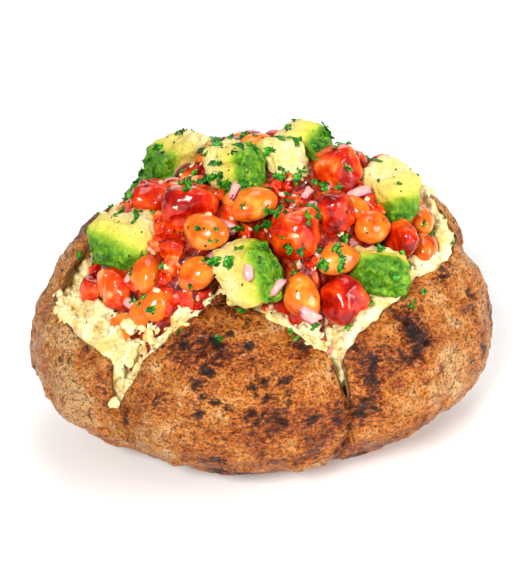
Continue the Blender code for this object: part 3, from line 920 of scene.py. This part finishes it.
class POTATO_OT_skin(bpy.types.Operator):
    """Build the baked skin with its four flaps"""

    bl_idname = "potato.skin"
    bl_label = "Baked skin"

    OUTER_ROWS = 140
    LIP_ROWS = 4
    INNER_ROWS = 14
    INNER_DROP = 24.0  # degrees of rise that the inner face reaches down
    INNER_FACE = 0.52  # share of the inner attribute from which the creases show on the inner face
    EYE_DEPTH = 0.45 * MM
    DEEPEST = 0.7  # of the skin's thickness: the relief must not cut through it
    PALE_WIDTH = 1.2  # mm of clinging flesh from which the cut edge looks wholly pale

    def execute(self, context):
        settings = context.scene.potato_skin
        turns = columns(plain_step=0.85, slit_step=0.3)
        profiles = [Profile(turn) for turn in turns]
        edges = [cut_edge(turn) for turn in turns]
        steps = [self.even_rises(profile, edge) for profile, edge in zip(profiles, edges)]
        outer = [
            [profile.point(rises[row]) for profile, rises in zip(profiles, steps)]
            for row in range(self.OUTER_ROWS + 1)
        ]
        lip, lip_shares = self.lip(settings.thickness, turns, edges, outer[-1])
        within, within_shares = self.inner_face(settings.thickness, turns, profiles, edges)
        rings = [[settle_in_box(Vector((0, 0, 0)))], *outer, *lip, *within]
        corners, faces = mesh_of_rings(rings)
        inner = [0.0] * (1 + len(outer) * len(turns)) + lip_shares + within_shares
        column_turns = [0.0] + turns * (len(rings) - 1)
        eye = self.eye_shares(corners, inner, settings.eyes)

        def height(corner, i):
            return self.relief(settings, corner, column_turns[i], inner[i], eye[i])

        corners = moved_along_normals(corners, faces, height)
        shares = {"inner": inner, "eye": eye}
        piece = add_piece("potato_skin", corners, faces, skin_material(settings), "potato", shares)
        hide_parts("potato")
        return {"FINISHED"}

    def lip(self, thickness, turns, edges, cut):
        """Rings over the cut edge, and how far each corner lies towards the inner face."""
        normals = [surface_normal(turn, edge) for turn, edge in zip(turns, edges)]
        pale = [min(1.0, around(CLINGING_FLESH, turn) / self.PALE_WIDTH) for turn in turns]
        rings = []
        shares = []
        for row in range(1, self.LIP_ROWS + 1):
            share = row / self.LIP_ROWS
            ring = []
            for turn, corner, normal in zip(turns, cut, normals):
                lift = 0.35 * math.sin(math.pi * share) * thickness
                across = normal * skin_thickness(thickness, turn) * share
                ring.append(corner - across + Vector((0, 0, lift)))
            rings.append(ring)
            shares += [0.07 + share * (0.05 + 0.28 * paleness) for paleness in pale]
        return rings, shares

    def inner_face(self, thickness, turns, profiles, edges):
        """Rings down the inner face, and how far each corner lies down it."""
        rings = []
        shares = []
        for row in range(1, self.INNER_ROWS + 1):
            share = row / self.INNER_ROWS
            ring = []
            for turn, profile, edge in zip(turns, profiles, edges):
                rise = max(edge - self.INNER_DROP * share, BASE_RISE / 2)
                normal = surface_normal(turn, rise)
                ring.append(profile.point(rise) - normal * skin_thickness(thickness, turn))
            rings.append(ring)
            shares += [0.5 + 0.5 * share] * len(turns)
        return rings, shares

    def relief(self, settings, corner, turn, inner, eye):
        """Height of the skin's lumps, ridges, wrinkles, eyes and creases at a corner."""
        calm = smooth_step(0, 4 * MM, corner.z)
        away = 1 - 0.8 * smooth_step(0.05, 0.5, inner)
        broad = 0.8 * noise.noise(corner / (10 * MM))
        flat_place = Vector((corner.x, corner.y, corner.z * 1.6))
        ridges = 0.3 - 1.3 * abs(noise.noise(flat_place / (7.5 * MM) + Vector((7, 3, 1))))
        wrinkles = 0.3 - abs(noise.noise(flat_place / (3.1 * MM) + Vector((1, 8, 5))))
        fine = noise.noise(corner / (1.7 * MM))
        total = settings.relief * (broad + ridges + 0.7 * wrinkles + 0.2 * fine - 0.2) * calm * away
        deepest = self.DEEPEST * settings.thickness
        total = max(total - self.EYE_DEPTH * eye * calm, -deepest)
        if inner == 0:
            total -= self.crease_depth(corner, turn, settings)
        elif inner > self.INNER_FACE:
            total += self.crease_depth(corner, turn, settings)
        return total

    def even_rises(self, profile, edge):
        """Rises from the base to the cut edge, at even distances along the skin."""
        samples = 32
        rises = [BASE_RISE + (edge - BASE_RISE) * step / samples for step in range(samples + 1)]
        points = [profile.raw(rise) for rise in rises]
        lengths = [0.0]
        for before, after in zip(points, points[1:]):
            lengths.append(lengths[-1] + (after - before).length)
        made = []
        at = 0
        for row in range(self.OUTER_ROWS + 1):
            wanted = lengths[-1] * row / self.OUTER_ROWS
            while at < samples - 1 and lengths[at + 1] < wanted:
                at += 1
            share = (wanted - lengths[at]) / (lengths[at + 1] - lengths[at])
            made.append(rises[at] + (rises[at + 1] - rises[at]) * min(1.0, share))
        return made

    def eye_shares(self, corners, inner, count):
        """How strongly each corner lies in one of the potato's eyes, from 0 to 1."""
        tree = KDTree(len(corners))
        for i, corner in enumerate(corners):
            tree.insert(corner, i)
        tree.balance()
        shares = [0.0] * len(corners)
        for centre, width in eye_places(count):
            for corner, i, distance in tree.find_range(centre, 1.3 * width):
                stretched = distance * (1 + noise.noise(corner / (1.8 * MM)))
                share = math.exp(-((stretched / (0.38 * width)) ** 2))
                if inner[i] == 0:
                    shares[i] = max(shares[i], share)
        return shares

    def crease_depth(self, corner, turn, settings):
        """Depth of the crease below each slit, and of the puckers beside it."""
        wander = 1.3 * noise.noise(Vector((corner.z / (9 * MM), 4, 2)))
        low = smooth_step(0, 14 * MM, corner.z)
        depth = 0.0
        for slit in SLITS:
            aside = turn_between(turn, slit + wander) * math.radians(1) * corner.xy.length
            depth += settings.crease * math.exp(-((aside / (1.1 * MM)) ** 2)) * low
            pucker = abs(noise.noise(Vector((aside / (2.4 * MM), corner.z / (14 * MM), slit))))
            depth += 0.4 * settings.relief * pucker * math.exp(-((aside / (9 * MM)) ** 2)) * low
        return depth


def flesh_start(turn, thickness):
    """Where the flesh's top begins inside the cut edge, and the rise it lies at."""
    rise = cut_edge(turn) - around(FLESH_DROP, turn)
    inward = 0.0
    for slit, lowest, back in OPEN_SLITS:
        near = 1 - smooth_step(1.2, 4.5, turn_between(turn, slit))
        if near > 0:
            rise = max(rise, lowest)
            inward = max(inward, near * back * MM)
    normal = surface_normal(turn, rise)
    start = Profile(turn).point(rise) - normal * (0.8 * skin_thickness(thickness, turn))
    return start - Vector((normal.x, normal.y, 0)).normalized() * inward, rise


def flesh_surface(start, turn, share):
    """A point of the flesh's top, without its fluff: share 0 at the skin, 1 at the middle."""
    x, y = start.x * (1 - share), start.y * (1 - share)
    inward = share * start.xy.length
    ease = smooth_step(0, 14 * MM, inward)
    bulge = around(FLESH_BULGE, turn) * MM * smooth_step(0, 1.5 * MM, inward) * (1 - ease)
    return Vector((x, y, start.z + (flesh_height(x, y) - start.z) * ease + bulge))


class POTATO_OT_flesh(bpy.types.Operator):
    """Build the fluffed flesh and its loose crumbs"""

    bl_idname = "potato.flesh"
    bl_label = "Fluffed flesh"

    ROWS = 76
    REACH = 0.5  # how far towards the middle the fine rows go; sauce covers the rest
    ABOVE = Vector((0, 0, 20 * MM))  # from which crumbs fall
    LARGE_CRUMB = 2.9 * MM
    CHIP_SIZE = (3 * MM, 2 * MM, 3.4 * MM)

    def execute(self, context):
        settings = context.scene.potato_flesh
        thickness = context.scene.potato_skin.thickness
        turns = columns(plain_step=0.75, slit_step=0.3)
        begun = [flesh_start(turn, thickness) for turn in turns]
        starts = [start for start, _ in begun]
        rings = [[Vector((0, 0, 12 * MM))]]
        # Two rings under the skin, so many degrees of rise lower and so far inside it
        for lower, inset in ((26, 5 * MM), (8, 3 * MM)):
            ring = []
            for turn, (start, rise) in zip(turns, begun):
                normal = surface_normal(turn, rise - lower)
                below = Profile(turn).point(rise - lower) - normal * inset
                aside = min(1.0, start.xy.length / below.xy.length)
                ring.append(Vector((below.x * aside, below.y * aside, below.z)))
            rings.append(ring)
        for row in range(self.ROWS + 1):
            share = self.REACH * row / self.ROWS
            rings.append([flesh_surface(start, turn, share) for start, turn in zip(starts, turns)])
        rings.append([Vector((0, 0, flesh_height(0, 0)))])
        corners, faces = mesh_of_rings(rings)
        first = 1 + 2 * len(turns)
        fluff = settings.fluff

        def height(corner, i):
            if i < first:
                return 0.0
            row = (i - first) // len(turns)
            grown = smooth_step(-1, 4, row)
            lumps = 0.8 * crumble(corner, 5.5 * MM) + 0.7 * noise.noise(corner / (3 * MM))
            grains = 0.35 * noise.noise(corner / (1.5 * MM)) + 0.18 * noise.noise(corner / (0.8 * MM))
            return fluff * (lumps + grains) * grown

        corners = moved_along_normals(corners, faces, height)
        material = flesh_material("fluffed baked potato", settings)
        add_piece("potato_flesh", corners, faces, material, "potato")
        self.scatter_crumbs(settings, starts, turns, material)
        return {"FINISHED"}

    def scatter_crumbs(self, settings, starts, turns, material):
        """Loose crumbs on the band of flesh that shows between skin and sauce."""
        chance = random.Random("crumbs")
        tree = trees_of("potato_flesh")[0]
        coarse, fine = ball(2), ball(3)
        crumbs = Lumps()
        for _ in range(settings.crumbs):
            at = chance.randrange(len(turns))
            spot = flesh_surface(starts[at], turns[at], 0.28 * chance.random() ** 1.2 + 0.04)
            place, normal, _, _ = tree.ray_cast(spot + self.ABOVE, -self.ABOVE)
            if place is None:
                continue
            size = settings.crumb_size * chance.triangular(0.3, 1.7, 0.6)
            sizes = [size * chance.uniform(0.7, 1.3) for _ in range(3)]
            shape = fine if size > self.LARGE_CRUMB else coarse
            lay_lump(crumbs, place - normal * 0.2 * size, normal, shape, sizes, 1.0, chance)
        corners, faces = lump(fine, self.CHIP_SIZE, Vector((4, 1, 6)), 0.7)
        turn, rise = CHIP_PLACE
        crumbs.add(Profile(turn).point(rise), Matrix.Identity(3), corners, faces)
        add_piece("flesh_crumbs", crumbs.corners, crumbs.faces, material, "potato")


class POTATO_OT_sauce(bpy.types.Operator):
    """Build the sauce and pulp that the pieces lie in"""

    bl_idname = "potato.sauce"
    bl_label = "Sauce"

    ROWS = 78
    FIRST_SHARE = 0.11  # how far inwards from the skin the sauce begins, under the flesh

    def execute(self, context):
        settings = context.scene.potato_heap
        thickness = context.scene.potato_skin.thickness
        turns = columns(plain_step=1.0, slit_step=1.0)
        starts = [flesh_start(turn, thickness)[0] for turn in turns]
        rings = [[Vector((0, 0, 38 * MM))]]
        for row in range(self.ROWS):
            share = self.FIRST_SHARE + (1 - self.FIRST_SHARE) * row / self.ROWS
            ring = []
            for start, turn in zip(starts, turns):
                below = flesh_surface(start, turn, share)
                inward = (share - self.FIRST_SHARE) * start.xy.length
                sunk = below.z - 2.5 * MM
                top = max(sunk, heap_height(below.x, below.y) - settings.depth)
                ring.append(Vector((below.x, below.y, sunk + (top - sunk) * smooth_step(0, 9 * MM, inward))))
            rings.append(ring)
        rings.append([Vector((0, 0, heap_height(0, 0) - settings.depth))])
        corners, faces = mesh_of_rings(rings)
        lumps = settings.lumps

        def height(corner, i):
            if i == 0:
                return 0.0
            return lumps * (0.8 * crumble(corner, 5 * MM) + 0.5 * crumble(corner, 2.4 * MM))

        corners = moved_along_normals(corners, faces, height)
        # Cooked tomato sauce: a wet pulp that gives the eye deep red hollows and glossy orange-red lumps.
        # Its darkest, near-black red is painted shade for the gaps between the pieces.
        material = wet_material(
            "tomato sauce",
            ((0.32, "#300301"), (0.45, "#640C02"), (0.57, "#962406"), (0.68, "#C4541A"), (0.8, "#E0A068")),
            pitch=3.5,
            grain_height=0.9 * MM,
            glow=0.1,
        )
        piece = add_piece("sauce", corners, faces, material, "sauce")
        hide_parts("sauce_heap")
        return {"FINISHED"}


def replace_node(node, name, material, corners, faces, height, shares=None):
    """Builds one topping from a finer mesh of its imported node, with its relief, in the node's place."""
    slot = node.split("_")[0]
    piece = add_piece(name, moved_along_normals(corners, faces, height), faces, material, slot, shares)
    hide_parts(node)


class POTATO_OT_avocado(bpy.types.Operator):
    """Build the avocado dice"""

    bl_idname = "potato.avocado"
    bl_label = "Avocado dice"

    def execute(self, context):
        material = avocado_material()
        for node in node_names("avocado"):
            corners, faces, centre = node_shape(node, plain_levels=1, levels=3, growth=1.03, roundness=0.1)
            way, pitch = (math.radians(angle) for angle in AVOCADO_GREEN_SIDE[node])
            side = Vector((math.cos(way) * math.cos(pitch), math.sin(way) * math.cos(pitch), math.sin(pitch)))
            reach = max((corner - centre).dot(side) for corner in corners)
            green = [(corner - centre).dot(side) / reach for corner in corners]

            def height(corner, i):
                rough = smooth_step(0.35, 0.85, green[i])
                broad = 1.8 * noise.noise(corner / (6.5 * MM))
                dents = 1.1 * (0.3 - abs(noise.noise(corner / (4 * MM) + Vector((3, 1, 7)))))
                leathery = 1.2 * rough * (0.3 - abs(noise.noise(corner / (2.3 * MM))))
                fine = 0.38 * noise.noise(corner / (1.5 * MM))
                return (broad + dents + leathery + fine) * MM

            shares = {"green": [smooth_step(-0.5, 1.05, value) * 0.85 for value in green]}
            replace_node(node, f"dice_of_{node}", material, corners, faces, height, shares)
        return {"FINISHED"}


def tomato_relief(corner, _):
    """The soft sides of a cut piece of tomato."""
    broad = 1.7 * noise.noise(corner / (6 * MM) + Vector((2, 9, 4)))
    folds = 0.9 * (0.3 - abs(noise.noise(corner / (3.8 * MM))))
    return (broad + folds + 0.1 * noise.noise(corner / (1.1 * MM))) * MM


class POTATO_OT_tomato(bpy.types.Operator):
    """Build the tomato dice"""

    bl_idname = "potato.tomato"
    bl_label = "Tomato dice"

    def execute(self, context):
        # Ripe tomato, diced and warmed: wet flesh that gives the eye a clear red with paler orange streaks
        material = wet_material(
            "diced tomato",
            ((0.32, "#640300"), (0.42, "#9C0B00"), (0.51, "#C62600"), (0.6, "#E2540C"), (0.7, "#F2A26A")),
            pitch=8,
            grain_height=0.7 * MM,
            glow=0.12,
        )
        for node in node_names("tomato"):
            corners, faces, _ = node_shape(node, plain_levels=0, levels=3, growth=1.04, roundness=0.4)
            replace_node(node, f"dice_of_{node}", material, corners, faces, tomato_relief)
        return {"FINISHED"}


def bean_material():
    """Cooked bean in tomato sauce: a thin tight skin over mealy flesh.

    It gives the eye a glossy orange with paler, blotchy places.
    """
    return wet_material(
        "cooked bean",
        ((0.3, "#A8380A"), (0.42, "#CC540E"), (0.56, "#E07018"), (0.7, "#EE9440"), (0.84, "#F6BC88")),
        pitch=7,
        grain_height=0.1 * MM,
        glow=0.12,
        detail=3.0,
    )


def bean_relief(corner, _):
    """A bean's faint unevenness and the wrinkles of its skin."""
    broad = 0.22 * noise.noise(corner / (5 * MM))
    wrinkles = 0.2 * (0.3 - abs(noise.noise(corner / (2.2 * MM))))
    return (broad + wrinkles) * MM


class POTATO_OT_beans(bpy.types.Operator):
    """Build the beans"""

    bl_idname = "potato.beans"
    bl_label = "Beans"

    def execute(self, context):
        material = bean_material()
        for node in node_names("bean"):
            corners, faces, _ = node_shape(node, plain_levels=0, levels=2, growth=1.09, roundness=0.0)
            replace_node(node, f"cooked_{node}", material, corners, faces, bean_relief)
        return {"FINISHED"}


def heap_spot(chance, most=0.97):
    """A random place over the heap, evenly spread in plan."""
    angle = chance.uniform(0, 2 * math.pi)
    reach = most * math.sqrt(chance.random())
    x = HEAP_CENTRE[0] + HEAP_HALF[0] * reach * math.cos(angle)
    y = HEAP_CENTRE[1] + HEAP_HALF[1] * reach * math.sin(angle)
    return x, y


def land(trees, x, y):
    """Where something dropped on the heap from outside lands: place, normal, and number of the piece."""
    normal = heap_normal(x, y)
    start = Vector((x, y, heap_height(x, y))) + normal * DROP_HEIGHT * MM
    return first_hit(trees, start, -normal)


class POTATO_OT_small_pieces(bpy.types.Operator):
    """Build the small tomato and the sunken beans between the large pieces"""

    bl_idname = "potato.small_pieces"
    bl_label = "Small tomato and sunken beans"

    TRIES = 12  # for each piece, to find a place in the sauce that is free
    SAUCE = 0  # number of the sauce among what they can land on

    def execute(self, context):
        settings = context.scene.potato_heap
        large = trees_of("dice_of", "cooked_bean")
        trees = trees_of("sauce") + large
        shape = ball(3)
        # Name, how many, slot, material, shortest and longest in mm, and how uneven
        for name, count, slot, material, low, high, roughness in (
            ("small_tomato", settings.small_dice, "tomato", "diced tomato", 3.0, 7.0, 0.7),
            ("sunken_beans", settings.small_beans, "bean", "cooked bean", 8.0, 9.5, 0.12),
        ):
            chance = random.Random(name)
            made = Lumps()
            placed = 0
            for _ in range(count * self.TRIES):
                if placed == count:
                    break
                place, normal, landed_on = land(trees, *heap_spot(chance, most=0.93))
                if landed_on != self.SAUCE:
                    continue
                length = chance.uniform(low, high) * MM
                room = min(tree.find_nearest(place)[3] for tree in large)
                if room < 0.1 * length:
                    continue
                sizes = (length, length * chance.uniform(0.6, 0.85), length * chance.uniform(0.5, 0.8))
                lay_lump(made, place, normal, shape, sizes, roughness, chance)
                placed += 1
            add_piece(name, made.corners, made.faces, bpy.data.materials[material], slot)
        return {"FINISHED"}


def onion_shape(length, width, thickness, bend):
    """A piece of one onion layer: a bent plate with uneven rims. Its outer side is +Z."""
    along, across = 14, 8
    sides = [[], []]
    rims = [[], []]
    seed = Vector((length, width, thickness)) * 9e4
    for i in range(along + 1):
        for j in range(across + 1):
            u, v = 2 * i / along - 1, 2 * j / across - 1
            taper = (1 - 0.35 * u**6) * (1 + 0.4 * u * noise.noise(seed))
            x, y = u * length / 2, v * width / 2 * taper
            uneven = 1 + 0.25 * noise.noise(Vector((u, v, 0)) * 1.3 + seed)
            arch = (1 - u * u) * bend + (1 - v * v) * width * 0.12
            rim = max(abs(u), abs(v)) ** 6
            half = thickness / 2 * (1 - 0.7 * rim)
            for side, sign in enumerate((1, -1)):
                sides[side].append(Vector((x * uneven, y * uneven, arch + sign * half)))
                rims[side].append(min(1.0, (0.25 if sign > 0 else 0.0) + 0.75 * rim * (v > 0) + 0.2 * rim))
    row = across + 1
    count = row * (along + 1)
    faces = []
    for i in range(along):
        for j in range(across):
            a = i * row + j
            faces.append((a, a + row, a + row + 1, a + 1))
            faces.append((count + a, count + a + 1, count + a + row + 1, count + a + row))
    border = list(range(row))
    border += [i * row + across for i in range(1, along + 1)]
    border += [along * row + j for j in range(across - 1, -1, -1)]
    border += [i * row for i in range(along - 1, 0, -1)]
    for a, b in zip(border, border[1:] + border[:1]):
        faces.append((a, b, count + b, count + a))
    return sides[0] + sides[1], faces, rims[0] + rims[1]


class POTATO_OT_onion(bpy.types.Operator):
    """Build the chopped red onion"""

    bl_idname = "potato.onion"
    bl_label = "Chopped onion"

    # How likely a piece is to slide off a large one. Scattered pieces always do, away from the gatherings
    SLIDES_OFF = 0.75
    MINCED_SLIDES_OFF = 0.92

    def execute(self, context):
        settings = context.scene.potato_heap
        sunken = trees_of("sauce", "small_tomato")
        trees = sunken + trees_of("dice_of", "cooked_bean", "sunken")
        chance = random.Random("onion")
        spots = [
            (x * MM, y * MM, chance.uniform(0, FULL_TURN), chance.triangular(4, 8.5, 6) * MM)
            for x, y in gathered(chance, ONION_GATHERINGS)
        ]
        near_gatherings = len(spots)
        spots += [
            (*heap_spot(chance, most=0.92), chance.uniform(0, FULL_TURN), chance.uniform(3, 5.5) * MM)
            for _ in range(settings.onion)
        ]
        made = Lumps()
        for number, (x, y, turn, length) in enumerate(spots):
            place, normal, landed_on = land(trees, x, y)
            if place is None:
                continue
            on_large = landed_on >= len(sunken)
            if on_large and (number >= near_gatherings or chance.random() < self.SLIDES_OFF):
                continue
            width = length * chance.uniform(0.35, 0.65)
            corners, faces, rims = onion_shape(length, width, chance.uniform(0.6, 0.9) * MM, length * 0.14)
            up = (normal * 0.5 + heap_normal(x, y)).normalized()
            tilt = Euler((chance.uniform(-0.5, 0.5), chance.uniform(-0.4, 0.4), 0)).to_matrix()
            made.add(place, lay_on(up, turn) @ tilt, corners, faces, rims)
        shares = {"rim": made.shares}
        add_piece("chopped_onion", made.corners, made.faces, onion_material(), "sauce", shares)
        self.scatter_minced(settings, trees, len(sunken))
        return {"FINISHED"}

    def scatter_minced(self, settings, trees, deep):
        """Finely chopped pale bits, mostly in the sauce."""
        chance = random.Random("minced")
        shape = ball(2)
        bits = Lumps()
        for _ in range(settings.minced):
            place, normal, landed_on = land(trees, *heap_spot(chance))
            if place is None or (landed_on >= deep and chance.random() < self.MINCED_SLIDES_OFF):
                continue
            size = chance.uniform(0.7, 2.0) * MM
            sizes = (size, size * chance.uniform(0.5, 0.9), size * 0.6)
            lay_lump(bits, place, normal, shape, sizes, 0.6, chance)
        # Finely chopped onion, softened in the sauce: moist pale bits that give the eye soft pinkish dots
        stops = ((0.3, "#C9744A"), (0.5, "#E3AE86"), (0.7, "#F2DCC0"))
        material = wet_material(
            "minced onion", stops, pitch=4, grain_height=0.2 * MM, glow=0.2, roughness=0.25
        )
        add_piece("minced_onion", bits.corners, bits.faces, material, "sauce")


def leaf_shape(width, chance):
    """A crinkled, torn scrap of leaf with a thickness. Gives corners, faces and each corner's painted shade.
    """
    spokes = 16
    raised = 0.25 * MM  # level of the leaf's top at its middle
    leaf_thickness = 0.18 * MM
    waves = [
        (lobes, chance.uniform(0, FULL_TURN), chance.uniform(0.06, 0.17)) for lobes in (1, 2, 3, 5, 6, 8)
    ]
    stretch = chance.uniform(0.45, 0.9)
    curl = chance.uniform(-0.35, 0.5)
    seed = random_seed(chance)
    top = [Vector((0, 0, raised))]
    for reach in (0.35, 0.7, 1.0):
        for spoke in range(spokes):
            angle = 2 * math.pi * spoke / spokes
            outline = 0.9 + sum(size * math.sin(lobes * angle + phase) for lobes, phase, size in waves)
            radius = width / 2 * reach * max(0.25, outline)
            x, y = radius * math.cos(angle), radius * math.sin(angle) * stretch
            crinkle = noise.noise(Vector((x, y, 0)) / (0.8 * MM) + seed) * 0.5 * MM * reach
            top.append(Vector((x, y, crinkle + raised + curl * y * y / width * 2)))
    corners = top + [corner - Vector((0, 0, leaf_thickness)) for corner in top]
    upper = ring_faces([1, spokes, spokes, spokes])
    below = len(top)
    faces = [face[::-1] for face in upper]
    faces += [tuple(below + corner for corner in face) for face in upper]
    last = 1 + 2 * spokes
    for spoke in range(spokes):
        a, b = last + spoke, last + (spoke + 1) % spokes
        faces.append((a, b, below + b, below + a))
    tone = chance.triangular(0.1, 0.9, 0.45)
    shades = []
    # Painted shade and light: darker in noise patches and in the leaf's dips, lighter on its raised crinkles
    for corner in top:
        leaf_shade_patches = 1.1 * noise.noise(corner / (0.7 * MM) + seed)
        crinkle_light_and_shade = 0.5 * (corner.z - raised) / MM
        shades.append(min(1.0, max(0.0, tone + leaf_shade_patches + crinkle_light_and_shade)))
    return corners, faces, shades * 2


# What herbs and pepper can land on
UNDER_GARNISH = ("sauce", "dice_of", "cooked_bean", "small_", "sunken", "chopped", "potato_", "flesh_crumbs")


class POTATO_OT_parsley(bpy.types.Operator):
    """Scatter the chopped parsley"""

    bl_idname = "potato.parsley"
    bl_label = "Parsley"

    SCRAP_WIDTH = 2.2 * MM  # a flake is one torn scrap, and one more for each such width
    CLEARANCE = 0.12  # mm that a scrap lies above what is under it

    def execute(self, context):
        settings = context.scene.potato_garnish
        trees = trees_of(*UNDER_GARNISH)
        chance = random.Random("parsley")
        made = Lumps()
        for _ in range(settings.parsley):
            x, y = heap_spot(chance, most=0.95)
            width = settings.parsley_size * chance.triangular(0.35, 1.7, 0.8)
            place, normal, _ = land(trees, x, y)
            if place is None:
                continue
            up = (normal * 0.7 + heap_normal(x, y)).normalized()
            for scrap in range(1 + round(width / self.SCRAP_WIDTH)):
                size = width * (0.72 if scrap == 0 else chance.uniform(0.3, 0.55))
                corners, faces, shades = leaf_shape(size, chance)
                tilt = Euler((chance.uniform(-0.6, 0.6), chance.uniform(-0.6, 0.6), 0)).to_matrix()
                turned = lay_on(up, chance.uniform(0, FULL_TURN)) @ tilt
                angle = chance.uniform(0, FULL_TURN)
                drift = Vector((math.cos(angle), math.sin(angle), 0)) * width * 0.3 * (scrap > 0)
                base = place + lay_on(up, 0.0) @ drift + up * self.CLEARANCE * MM
                made.add(base, turned, corners, faces, shades)
        shares = {"shade": made.shares}
        add_piece("parsley", made.corners, made.faces, herb_material(), "sauce", shares)
        return {"FINISHED"}


class POTATO_OT_pepper(bpy.types.Operator):
    """Scatter the cracked pepper"""

    bl_idname = "potato.pepper"
    bl_label = "Pepper"

    def execute(self, context):
        settings = context.scene.potato_garnish
        trees = trees_of(*UNDER_GARNISH)
        chance = random.Random("pepper")
        shape = ball(1)
        made = Lumps()
        for _ in range(settings.pepper):
            place, normal, _ = land(trees, *heap_spot(chance, most=1.02))
            if place is None:
                continue
            size = settings.pepper_size * chance.triangular(0.5, 2.0, 0.8)
            sizes = [size * chance.uniform(0.6, 1.2) for _ in range(3)]
            lay_lump(made, place, normal, shape, sizes, 0.8, chance)
        # Cracked black peppercorn: dry and woody. It gives the eye near-black grains
        material = plain_material("cracked pepper", "#2A1D14", {"Roughness": 0.7})
        add_piece("pepper", made.corners, made.faces, material, "sauce")
        return {"FINISHED"}


class POTATO_OT_stage(bpy.types.Operator):
    """Set the floor, the lights and the camera"""

    bl_idname = "potato.stage"
    bl_label = "Stage"

    # Name, place in metres, size in metres, power in watts
    LIGHTS = (
        ("key light", (-0.42, -0.85, 0.7), 0.28, 15.5),
        ("fill light", (0.8, -0.6, 0.4), 0.6, 11.0),
        ("top light", (0.05, 0.15, 1.0), 0.5, 3.2),
        ("back light", (0.2, 0.85, 0.5), 0.7, 3.0),
    )
    FLOOR_HALF = 3.0
    SOFT_LIGHT = 0.24  # strength of the light from all round

    def execute(self, context):
        scene = context.scene
        settings = scene.potato_stage
        bm = bmesh.new()
        bmesh.ops.create_grid(bm, x_segments=1, y_segments=1, size=self.FLOOR_HALF)
        mesh = bpy.data.meshes.new("floor")
        bm.to_mesh(mesh)
        bm.free()
        # Matt painted board: it gives the eye a pale ground with no highlights
        look = {"Roughness": 0.9, "Specular IOR Level": 0.1}
        mesh.materials.append(plain_material("pale matt floor", settings.floor, look))
        floor = bpy.data.objects.new("floor", mesh)
        scene.collection.objects.link(floor)
        floor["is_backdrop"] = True
        aim = Vector((0, 0, settings.aim_height))
        for name, place, size, power in self.LIGHTS:
            light = bpy.data.lights.new(name, "AREA")
            light.shape = "DISK"
            light.size = size
            light.energy = power
            lamp = bpy.data.objects.new(name, light)
            lamp.location = place
            lamp.rotation_euler = (aim - lamp.location).to_track_quat("-Z", "Y").to_euler()
            scene.collection.objects.link(lamp)
        world = bpy.data.worlds.new("soft studio light")
        world.use_nodes = True
        background = world.node_tree.nodes["Background"]
        connect(background, {"Color": opaque("#FFFFFF"), "Strength": self.SOFT_LIGHT})
        scene.world = world
        scene.view_settings.view_transform = "Standard"
        camera = bpy.data.cameras.new("camera")
        camera.lens = settings.lens
        camera.sensor_width = 36.0
        camera.clip_start = 0.01
        viewer = bpy.data.objects.new("camera", camera)
        tilt = Euler((-settings.elevation, 0, settings.azimuth)).to_matrix()
        back = tilt @ Vector((0, -1, 0))
        viewer.location = aim + back * settings.distance
        viewer.rotation_euler = (-back).to_track_quat("-Z", "Y").to_euler()
        scene.collection.objects.link(viewer)
        scene.camera = viewer
        return {"FINISHED"}


OPERATORS = (
    POTATO_OT_skin,
    POTATO_OT_flesh,
    POTATO_OT_sauce,
    POTATO_OT_avocado,
    POTATO_OT_tomato,
    POTATO_OT_beans,
    POTATO_OT_small_pieces,
    POTATO_OT_onion,
    POTATO_OT_parsley,
    POTATO_OT_pepper,
    POTATO_OT_stage,
)


class POTATO_PT_panel(bpy.types.Panel):
    """Lists the steps that build the loaded potato"""

    bl_idname = "POTATO_PT_panel"
    bl_label = "Baked Potato"
    bl_space_type = "VIEW_3D"
    bl_region_type = "UI"
    bl_category = "Baked Potato"

    def draw(self, context):
        for operator in OPERATORS:
            self.layout.operator(operator.bl_idname)
        for title in SETTINGS:
            group = getattr(context.scene, title)
            box = self.layout.box()
            box.label(text=title.replace("_", " ").capitalize())
            for setting in group.bl_rna.properties:
                if setting.identifier not in ("rna_type", "name"):
                    box.prop(group, setting.identifier)


SETTINGS = {
    "potato_skin": BakedSkinSettings,
    "potato_flesh": FleshSettings,
    "potato_heap": HeapSettings,
    "potato_garnish": GarnishSettings,
    "potato_stage": StageSettings,
}


def register():
    for group in SETTINGS.values():
        bpy.utils.register_class(group)
    for title, group in SETTINGS.items():
        setattr(bpy.types.Scene, title, bpy.props.PointerProperty(type=group))
    for operator in OPERATORS:
        bpy.utils.register_class(operator)
    bpy.utils.register_class(POTATO_PT_panel)


def unregister():
    bpy.utils.unregister_class(POTATO_PT_panel)
    for operator in reversed(OPERATORS):
        bpy.utils.unregister_class(operator)
    for title, group in SETTINGS.items():
        delattr(bpy.types.Scene, title)
        bpy.utils.unregister_class(group)


def write_sizes():
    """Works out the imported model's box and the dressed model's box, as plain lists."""
    boxes = {"cad": CAD_BOX, "visual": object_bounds()}
    plain = {name: [list(corner) for corner in box] for name, box in boxes.items()}


def main():
    register()
    for operator in OPERATORS:
        family, action = operator.bl_idname.split(".")
        getattr(getattr(bpy.ops, family), action)()
    write_sizes()


if __name__ == "__main__":
    main()
